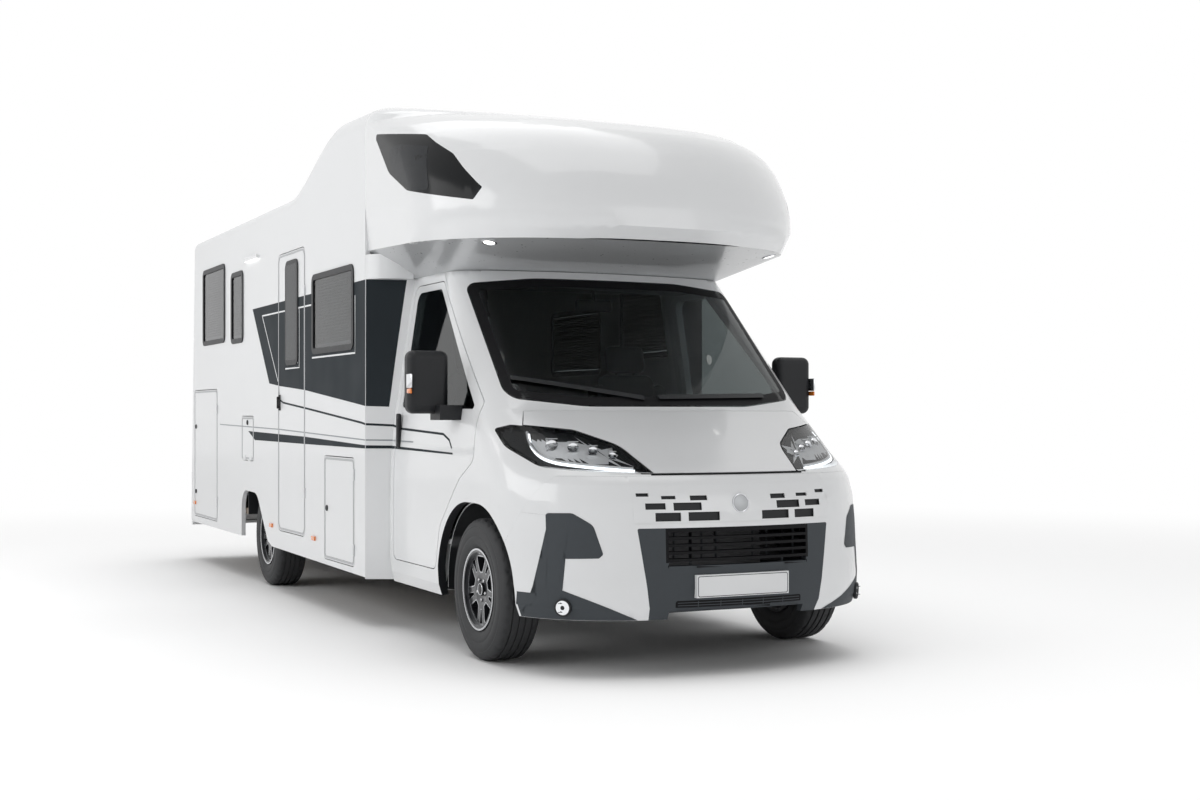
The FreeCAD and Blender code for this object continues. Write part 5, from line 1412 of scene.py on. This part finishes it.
@dataclass
class Grille:
    """Ribs of the grille, and painted shade in its narrow lower slots and the barred intake below."""

    ribs: Sequence[float] = (0.105, 0.185, 0.262, 0.340)
    slots: Sequence[Sequence[float]] = ((-0.355, 0.308, 0.355, 0.372, 0.012),
                                        (-0.395, 0.530, -0.105, 0.545, 0.005),
                                        (0.105, 0.530, 0.395, 0.545, 0.005))
    uprights: Sequence[float] = (-0.24, -0.12, 0.0, 0.12, 0.24)
    pitch: float = 0.013

    def build(self) -> None:
        """Build ribs, the painted shade of the slots, and bars."""
        skin = Skin("grille")

        def front(u: float, v: float, depth: float) -> Vector:
            """Place in front of the grille, whose slats are met above and its panel below."""
            met = skin.meet(0, u, 0.735 if v > 0.72 else 0.55)
            return Vector(((met[0].x if met else FRONT_AXLE + 0.9) + depth, u, v))

        ribs = [prism(rectangle(side * u - 0.002, 0.562, side * u + 0.002, 0.716), front, -0.016, -0.004)
                for u in self.ribs for side in (-1, 1)]
        publish("grille_ribs", ribs, CLADDING, "coach", 0.4)
        panel = [Panel("coach", skin, 0, cell=0.05)]
        # Flat deep black sheets over the slots and the intake: painted shade of the openings.
        lay("grille_slot_painted_shade", [rectangle(*slot) for slot in self.slots], panel, DEEP_BLACK, 0.0008)
        low = self.slots[0][1]
        bars = [rectangle(-0.345, low + self.pitch * step, 0.345, low + 0.004 + self.pitch * step)
                for step in range(1, 5)]
        bars += [rectangle(u - 0.002, 0.312, u + 0.002, 0.368) for u in self.uprights]
        lay("intake_bars", bars, panel, CLADDING, 0.0028)


@dataclass
class Nose:
    """Dark bumper cladding, painted shade in the bonnet gap, fog lamps, plain badge disc and plate borders.
    """

    cladding: Sequence[Sequence[float]] = (
        (-0.897, 0.792, 0.012), (-0.805, 0.795, 0.030), (-0.728, 0.738, 0.050), (-0.690, 0.600, 0.012),
        (-0.708, 0.581, 0.008), (-0.858, 0.575, 0.012), (-0.862, 0.430, 0.020), (-0.480, 0.262),
        (-0.480, 0.200), (-0.985, 0.200), (-0.985, 0.404), (-0.928, 0.404, 0.010), (-0.905, 0.425, 0.008))
    lowest: float = 0.2815
    creases: Sequence[float] = (0.340, 0.440, 0.590, 0.720, 0.850)
    seam_height: float = 0.9755
    fog_lamp: Pair = (0.845, 0.342)
    plates: Sequence[tuple[str, float, float, float]] = (
        ("plate_border", 0.389, 0.489, 0.003), ("rear_plate_border", 0.564, 0.666, 0.006))

    def build(self) -> None:
        """Build the pieces of the nose."""
        skin = Skin("front_bumper", "bumper_cladding", "cab_fenders")
        ahead = Panel("coach", skin, 0, (-1.0, self.lowest), (1.0, 0.9), cell=0.025, creases=self.creases)
        outline = rounded(self.cladding)
        lay("bumper_field", [outline, [(-u, v) for u, v in outline][::-1]], [ahead], CLADDING, 0.0012)
        flanks = [Panel("coach", skin, side, (0.30, self.lowest), (0.650, 0.404), cell=0.025,
                        creases=self.creases[:1]) for side in (-1, 1)]
        lay("bumper_corner", [rectangle(0.30, 0.27, 0.86, 0.42)], flanks, CLADDING, 0.0010)
        VentCover().build()
        Grille().build()
        self.painted_gap_shade()
        self.fog_lamps(skin)
        self.badge()
        self.borders()

    def painted_gap_shade(self) -> None:
        """Deep black tube along the lower edge of the bonnet: painted shade of the gap there."""
        skin = Skin("front_bumper", "cab_fenders", "cab_shell", "bonnet")
        line = []
        for step in range(41):
            point, normal = skin.meet(0, -0.43 + 0.0215 * step, self.seam_height)
            line.append(point + normal * 0.0005)
        # The deep black tube is painted shade of the gap under the bonnet.
        publish("bonnet_gap_painted_shade", tube(line, 0.0045, 8), DEEP_BLACK, "coach")

    def fog_lamps(self, skin: Skin) -> None:
        """Round fog lamps in the lower corners.

        Args:
            skin: what they are let into.
        """
        rings, bowls, globes = [], [], []
        for side in (-1, 1):
            point, axis = skin.meet(0, side * self.fog_lamp[0], self.fog_lamp[1])
            base = point + axis * 0.004
            rings.append(lathe([(0.044, -0.008), (0.044, 0.006), (0.040, 0.010), (0.036, 0.009),
                                (0.034, 0.002), (0.034, -0.008)], base, axis, 40, closed=True))
            bowls.append(lathe([(0.0345, 0.006), (0.029, 0.000), (0.020, -0.003), (0.0, -0.004)], base, axis,
                               40))
            globes.append(lathe([(0.015, -0.004), (0.015, 0.003), (0.010, 0.0065), (0.0, 0.0075)], base, axis,
                                28))
            globes += [block(base + axis * 0.002 + Vector((0.0, 0.0, rise)), (0.004, 0.050, 0.003), 0.001)
                       for rise in (-0.021, 0.021)]
        publish("fog_lamp_rings", rings, BLACK_PLASTIC, "coach")
        publish("fog_lamp_bowls", bowls, REFLECTOR, "coach")
        publish("fog_lamp_globes", globes, BLACK_PLASTIC, "coach")

    def badge(self) -> None:
        """Plain disc between the slots."""
        met = Skin("front_bumper").meet(0, 0.0, 0.852)
        base = Vector((met[0].x + 0.0022, 0.0, 0.836))
        axis = Vector((0.97, 0.0, 0.14)).normalized()
        disc = lathe([(0.040, -0.004), (0.040, 0.003), (0.036, 0.0045), (0.0, 0.0065)], base, axis, 56)
        publish("badge_disc", disc, GALVANISED, "coach")
        ring = lathe([(0.046, -0.004), (0.046, 0.004), (0.043, 0.0065), (0.040, 0.004), (0.040, -0.004)],
                     base, axis, 56, closed=True)
        publish("badge_ring", ring, TURNED_ALLOY, "coach")

    def borders(self) -> None:
        """Thin dark border on each blank plate."""
        low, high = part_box("number_plates")
        for (name, bottom, top, width), station, way in zip(self.plates, (high.x, low.x), (1, -1)):
            outer = rectangle(-0.254, bottom, 0.254, top, 0.010)
            inner = rectangle(width - 0.254, bottom + width, 0.254 - width, top - width, 0.008)
            ring = frame_strip(outer, inner, lambda u, v, depth: Vector((station + way * depth, u, v)), 0.0,
                               0.0006)
            publish(name, ring, BLACK_PLASTIC, "coach")


@dataclass
class Openings:
    """Seals, catches, handles and locks of the doors, hatches and windows."""

    hatches: Sequence[tuple[str, Sequence[float], float]] = (
        ("garage_hatch", (-6.330, 0.390, -5.430, 1.470), 0.03),
        ("service_hatch", (-2.300, 0.345, -1.660, 1.000), 0.03),
        ("service_flap", FLAP_FRAME, 0.03), ("entrance_door", DOOR_FRAME, 0.06))
    locks: Sequence[tuple[str, float, float]] = (
        ("garage_hatch", -6.260, 1.160), ("garage_hatch", -6.260, 0.600), ("service_hatch", -2.240, 0.670),
        ("service_flap", -4.380, 1.205))
    seal: Pair = (0.0065, 0.020)
    blind_margin: float = 0.028
    pleat: float = 0.020
    pleat_depths: Pair = (0.0255, 0.030)

    def build(self) -> None:
        """Build the fittings of the sides."""
        for body, (left, low, right, high), radius in self.hatches:
            outer, inner = (rectangle(left + margin, low + margin, right - margin, high - margin, bend)
                            for margin, bend in zip(self.seal, (radius, radius - 0.012)))
            publish(f"{body}_edge", frame_strip(outer, inner, off_right, 0.0, 0.0022), GREY_SEAL, body)
        for index, (body, x, z) in enumerate(self.locks):
            base, axis = at(x, -WALL, z), Vector((0, -1, 0))
            knob = lathe([(0.019, 0.0), (0.019, 0.005), (0.016, 0.0075), (0.0, 0.0080)], base, axis, 32)
            slit = block(base + axis * 0.0085, (0.003, 0.002, 0.012), 0.0006)
            publish(f"lock_{index}", [knob, slit], BLACK_PLASTIC, body)
        self.entrance()
        self.windows()
        self.cab_doors()

    def entrance(self) -> None:
        """Handle of the entrance door, and the pane in its window."""
        plate = block(at(-3.420, -WALL - 0.004, 1.350), (0.040, 0.010, 0.110), 0.004)
        grip = block(at(-3.416, -WALL - 0.018, 1.350), (0.020, 0.012, 0.085), 0.005)
        necks = [block(at(-3.416, -WALL - 0.010, z), (0.014, 0.014, 0.014), 0.003) for z in (1.318, 1.382)]
        publish("entrance_handle", [plate, grip, *necks], BLACK_PLASTIC, "entrance_door")

        pane = prism(rectangle(-3.225, 1.640, -2.960, 2.300, 0.02), off_right, 0.0, 0.0085, 0.0015)
        publish("entrance_pane", pane, SHADED_BLIND, "entrance_door")

    def windows(self) -> None:
        """Pleated blinds, catches and blind rails of the fitted windows."""
        blinds, catches, bases = [], [], []
        for side, windows in ((-1, RIGHT_WINDOWS), (1, LEFT_WINDOWS)):
            for left, low, right, high in windows:
                left, low = left + self.blind_margin, low + self.blind_margin
                right, high = right - self.blind_margin, high - self.blind_margin
                pleats = max(8, round((high - low) / self.pleat))
                points = []
                for step in range(2 * pleats + 1):
                    depth = self.pleat_depths[step % 2]
                    z = low + (high - low) * step / (2 * pleats)
                    points += [at(left, side * (WALL - depth), z), at(right, side * (WALL - depth), z)]
                blinds.append(mesh_of(points, quads(2, 2 * pleats + 1, ring=False)))
                for share in ((0.5,) if right - left < 0.6 else (0.18, 0.82)):
                    x = left + (right - left) * share
                    catches.append(block(at(x, side * (WALL - 0.012), low + 0.045), (0.032, 0.010, 0.018),
                                         0.004))
                bases.append(block(at((left + right) / 2, side * (WALL - 0.021), low + 0.012),
                                   (right - left - 0.02, 0.006, 0.022), 0.002))
        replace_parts(publish("pleated_blinds", blinds, BLIND, "coach", 0.2), "window_blinds")
        publish("window_catches", catches, BLACK_PLASTIC, "coach")
        publish("blind_rails", bases, GREY_SEAL, "coach")

    def cab_doors(self) -> None:
        """Handles of the cab doors."""
        for name, side in SIDES:
            skin = Skin(f"cab_door_{name}")
            point, normal = skin.meet(side, -1.233, 1.172)
            grip = block(point + normal * 0.010, (0.048, 0.022, 0.200), 0.010)
            lip = block(point + normal * 0.016 + Vector((0.010, 0, 0)), (0.030, 0.018, 0.150), 0.008)
            publish(f"cab_door_handle_{name}", [grip, lip], BLACK_PLASTIC, f"cab_door_{name}")


@dataclass
class Cab:
    """Screen border, mirrors, seats and other cab fittings, and the corners under the bed."""

    screen: Sequence[Sequence[float]] = (
        (-0.868, 1.352, 0.07), (-0.480, 1.308, 0.9), (0.480, 1.308, 0.9), (0.868, 1.352, 0.07),
        (0.832, 1.997, 0.06), (0.450, 2.033, 0.9), (-0.450, 2.033, 0.9), (-0.832, 1.997, 0.06))
    border: Pair = (0.006, 0.050)
    seat_place: float = 0.5
    seat_lean: float = -11.0

    def build(self) -> None:
        """Build the pieces of the cab."""
        panel = Panel("coach", Skin("windscreen"), 0)
        outline = []
        corners = rounded(self.screen)
        for start, stop in zip(corners, corners[1:] + corners[:1]):
            steps = max(1, round((Vector(stop) - Vector(start)).length / 0.05))
            outline += [(start[0] + (stop[0] - start[0]) * n / steps,
                         start[1] + (stop[1] - start[1]) * n / steps) for n in range(steps)]
        outer, inner = (shrunk(outline, margin) for margin in self.border)
        publish("screen_border", panel.ringed(outer, inner, FOIL_LIFT), DEEP_BLACK, "coach")
        mirror = block(at(-0.705, 0.0, 1.900), (0.030, 0.230, 0.068), 0.014)
        stalk = tube([at(-0.700, 0.0, 1.925), at(-0.715, 0.0, 1.985)], 0.009)
        publish("inner_mirror", [mirror, stalk], BLACK_PLASTIC, "coach")
        self.mirrors()
        self.seats()
        self.corners()

    def mirrors(self) -> None:
        """Mirror glass and turn lamps on each cab door."""
        for name, side in SIDES:
            body = f"cab_door_{name}"
            low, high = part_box(f"mirror_{name}")
            back, front = low.x - FRONT_AXLE, high.x - FRONT_AXLE
            glass = [block(at(back - 0.0005, side * 1.150, 1.480), (0.005, 0.160, 0.190), 0.002),
                     block(at(back - 0.0005, side * 1.150, 1.335), (0.005, 0.160, 0.070), 0.002)]
            publish(f"mirror_glass_{name}", glass, REFLECTOR, body)
            reach = max(abs(low.y), abs(high.y)) - 0.001
            clear = block(at(front - 0.060, side * reach, 1.445), (0.070, 0.012, 0.075), 0.005)
            publish(f"mirror_lamp_{name}", clear, REFLECTOR, body)
            amber = block(at(front - 0.060, side * reach, 1.392), (0.060, 0.010, 0.026), 0.004)
            publish(f"mirror_amber_{name}", amber, AMBER_LENS, body)

    def seats(self) -> None:
        """Padded seats on pedestals, with bolsters and head rests."""
        pedestals = []
        for name, side in SIDES:
            y = side * self.seat_place
            lean = Matrix.Rotation(math.radians(self.seat_lean), 3, "Y")
            pieces = {
                "cushion": [block(at(-1.010, y, 0.880), (0.50, 0.40, 0.14), 0.055, segments=6),
                            *[block(at(-1.010, y + shift, 0.895), (0.46, 0.09, 0.15), 0.042, segments=6)
                              for shift in (-0.215, 0.215)]],
                "back": [block(at(-1.235, y, 1.215), (0.13, 0.38, 0.60), 0.055, lean, 6),
                         *[block(at(-1.215, y + shift, 1.190), (0.14, 0.09, 0.52), 0.042, lean, 6)
                           for shift in (-0.210, 0.210)]],
                "head_rest": [block(at(-1.290, y, 1.610), (0.09, 0.26, 0.17), 0.042, lean, 6)]}
            for part, meshes in pieces.items():
                piece = publish(f"seat_{part}_{name}", meshes, SEAT_CLOTH, "coach", 1.2)
                if part == "cushion" and side < 0:
                    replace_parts(piece, "cab_seats")
            pedestals.append(block(at(-1.010, y, 0.700), (0.38, 0.38, 0.23), 0.012))
            pedestals += [tube([at(-1.275, y + shift, 1.46), at(-1.292, y + shift, 1.56)], 0.007)
                          for shift in (-0.06, 0.06)]
        publish("seat_pedestals", pedestals, BLACK_PLASTIC, "coach")

    def corners(self) -> None:
        """White corners that close the body under the bed, beside the cab's roof."""
        parts = []
        for side in (-1, 1):
            outline = [(-1.441, 1.1492), (-1.392, 1.1400), (-1.330, 1.085), (-1.290, 1.000), (-1.290, 0.900),
                       (-1.441, 0.900)]
            parts.append(prism(outline, lambda u, v, depth: at(u, side * v, depth), 2.069, 2.215))
        publish("bed_corners", parts, PANEL_WHITE, "coach", 0.7)


@dataclass
class Bed:
    """Window panes, downlights and lamp colours of the bed over the cab."""

    pane: Sequence[Sequence[float]] = (
        (-0.990, 2.779, 0.03), (-0.832, 2.778, 0.03), (-0.534, 2.728, 0.02), (-0.422, 2.472, 0.02),
        (-0.637, 2.497, 0.04), (-0.861, 2.591, 0.05), (-0.990, 2.703, 0.05))

    def build(self) -> None:
        """Build the pieces of the bed."""
        panels = [Panel("coach", Skin("overcab_windows"), side, cell=0.05) for side in (-1, 1)]
        lay("bed_window_blind", [rounded(self.pane)], panels, SHADED_BLIND, 0.0012)
        soffit = Skin("overcab_soffit", "overcab_shell")
        rims, lights = [], []
        for side in (-1, 1):
            met = soffit.cast(at(-0.175, side * 0.870, 1.2), Vector((0.0, 0.0, 1.0)))
            if met is None:
                continue
            axis = met[1] if met[1].z < 0 else -met[1]
            rims.append(lathe([(0.042, -0.004), (0.042, 0.003), (0.038, 0.005), (0.032, 0.003),
                               (0.032, -0.004)], met[0], axis, 40, closed=True))
            lights.append(lathe([(0.0322, -0.003), (0.0322, 0.0015), (0.0, 0.0035)], met[0], axis, 32))
        publish("downlight_rims", rims, TURNED_ALLOY, "coach")
        publish("downlights", lights, WARM_LED, "coach")
        self.markers()

    def markers(self) -> None:
        """Amber side markers, and the white awning lamp with its strip."""
        mesh = baked(copied("side_lamps"))
        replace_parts(publish("side_lamp_pieces", mesh, AMBER_LENS, "coach", 0.5), "side_lamps")
        repaint(mesh, BODY_WHITE, lambda face: face.center.z > 2.0)
        low = block(at(-4.215, -WALL - 0.012, 2.4245), (0.37, 0.014, 0.003), 0.001)
        publish("awning_light_strip", low, WARM_LED, "coach")


@dataclass
class Rear:
    """Colours of the rear lamps and the profile that closes the roof's rear edge."""

    bands: Sequence[float] = (0.22, 0.44)
    radius: float = 0.074

    def build(self) -> None:
        """Build the pieces of the rear."""
        shape = copied("rear_lamps")
        heights = [vertex.co.z for vertex in shape.verts if vertex.co.z < 1.8]
        clear, amber = (min(heights) + (max(heights) - min(heights)) * share for share in self.bands)
        for level in (clear, amber):
            Panel.slice(shape, 2, level)
        mesh = baked(shape)
        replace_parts(publish("rear_lamp_pieces", mesh, RED_LENS, "coach", 0.5), "rear_lamps")
        repaint(mesh, AMBER_LENS, lambda face: clear <= face.center.z < amber)
        repaint(mesh, REFLECTOR, lambda face: face.center.z < clear)
        rear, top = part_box("roof_panel")[0].x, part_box("rear_wall")[1].z
        arc = [(1.149 - self.radius * (1 - math.cos(step * math.pi / 16)),
                top + self.radius * math.sin(step * math.pi / 16)) for step in range(9)]
        outline = [(1.149, top - 0.018), *arc, *[(-u, v) for u, v in arc[::-1]], (-1.149, top - 0.018)]
        profile = prism(outline, lambda u, v, depth: Vector((rear - depth, u, v)), -0.010, 0.010, 0.003)
        publish("roof_rear_profile", profile, PANEL_WHITE, "coach", 0.5)


def main() -> None:
    """Build the scene's sub-assemblies in order."""
    logging.basicConfig(level=logging.INFO, format="%(name)s: %(message)s")
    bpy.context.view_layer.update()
    Studio().build()
    Bodywork().build()
    Graphics().build()
    Wheels().build()
    Headlamps().build()
    Nose().build()
    Openings().build()
    Cab().build()
    Bed().build()
    Rear().build()


if __name__ == "__main__":
    main()
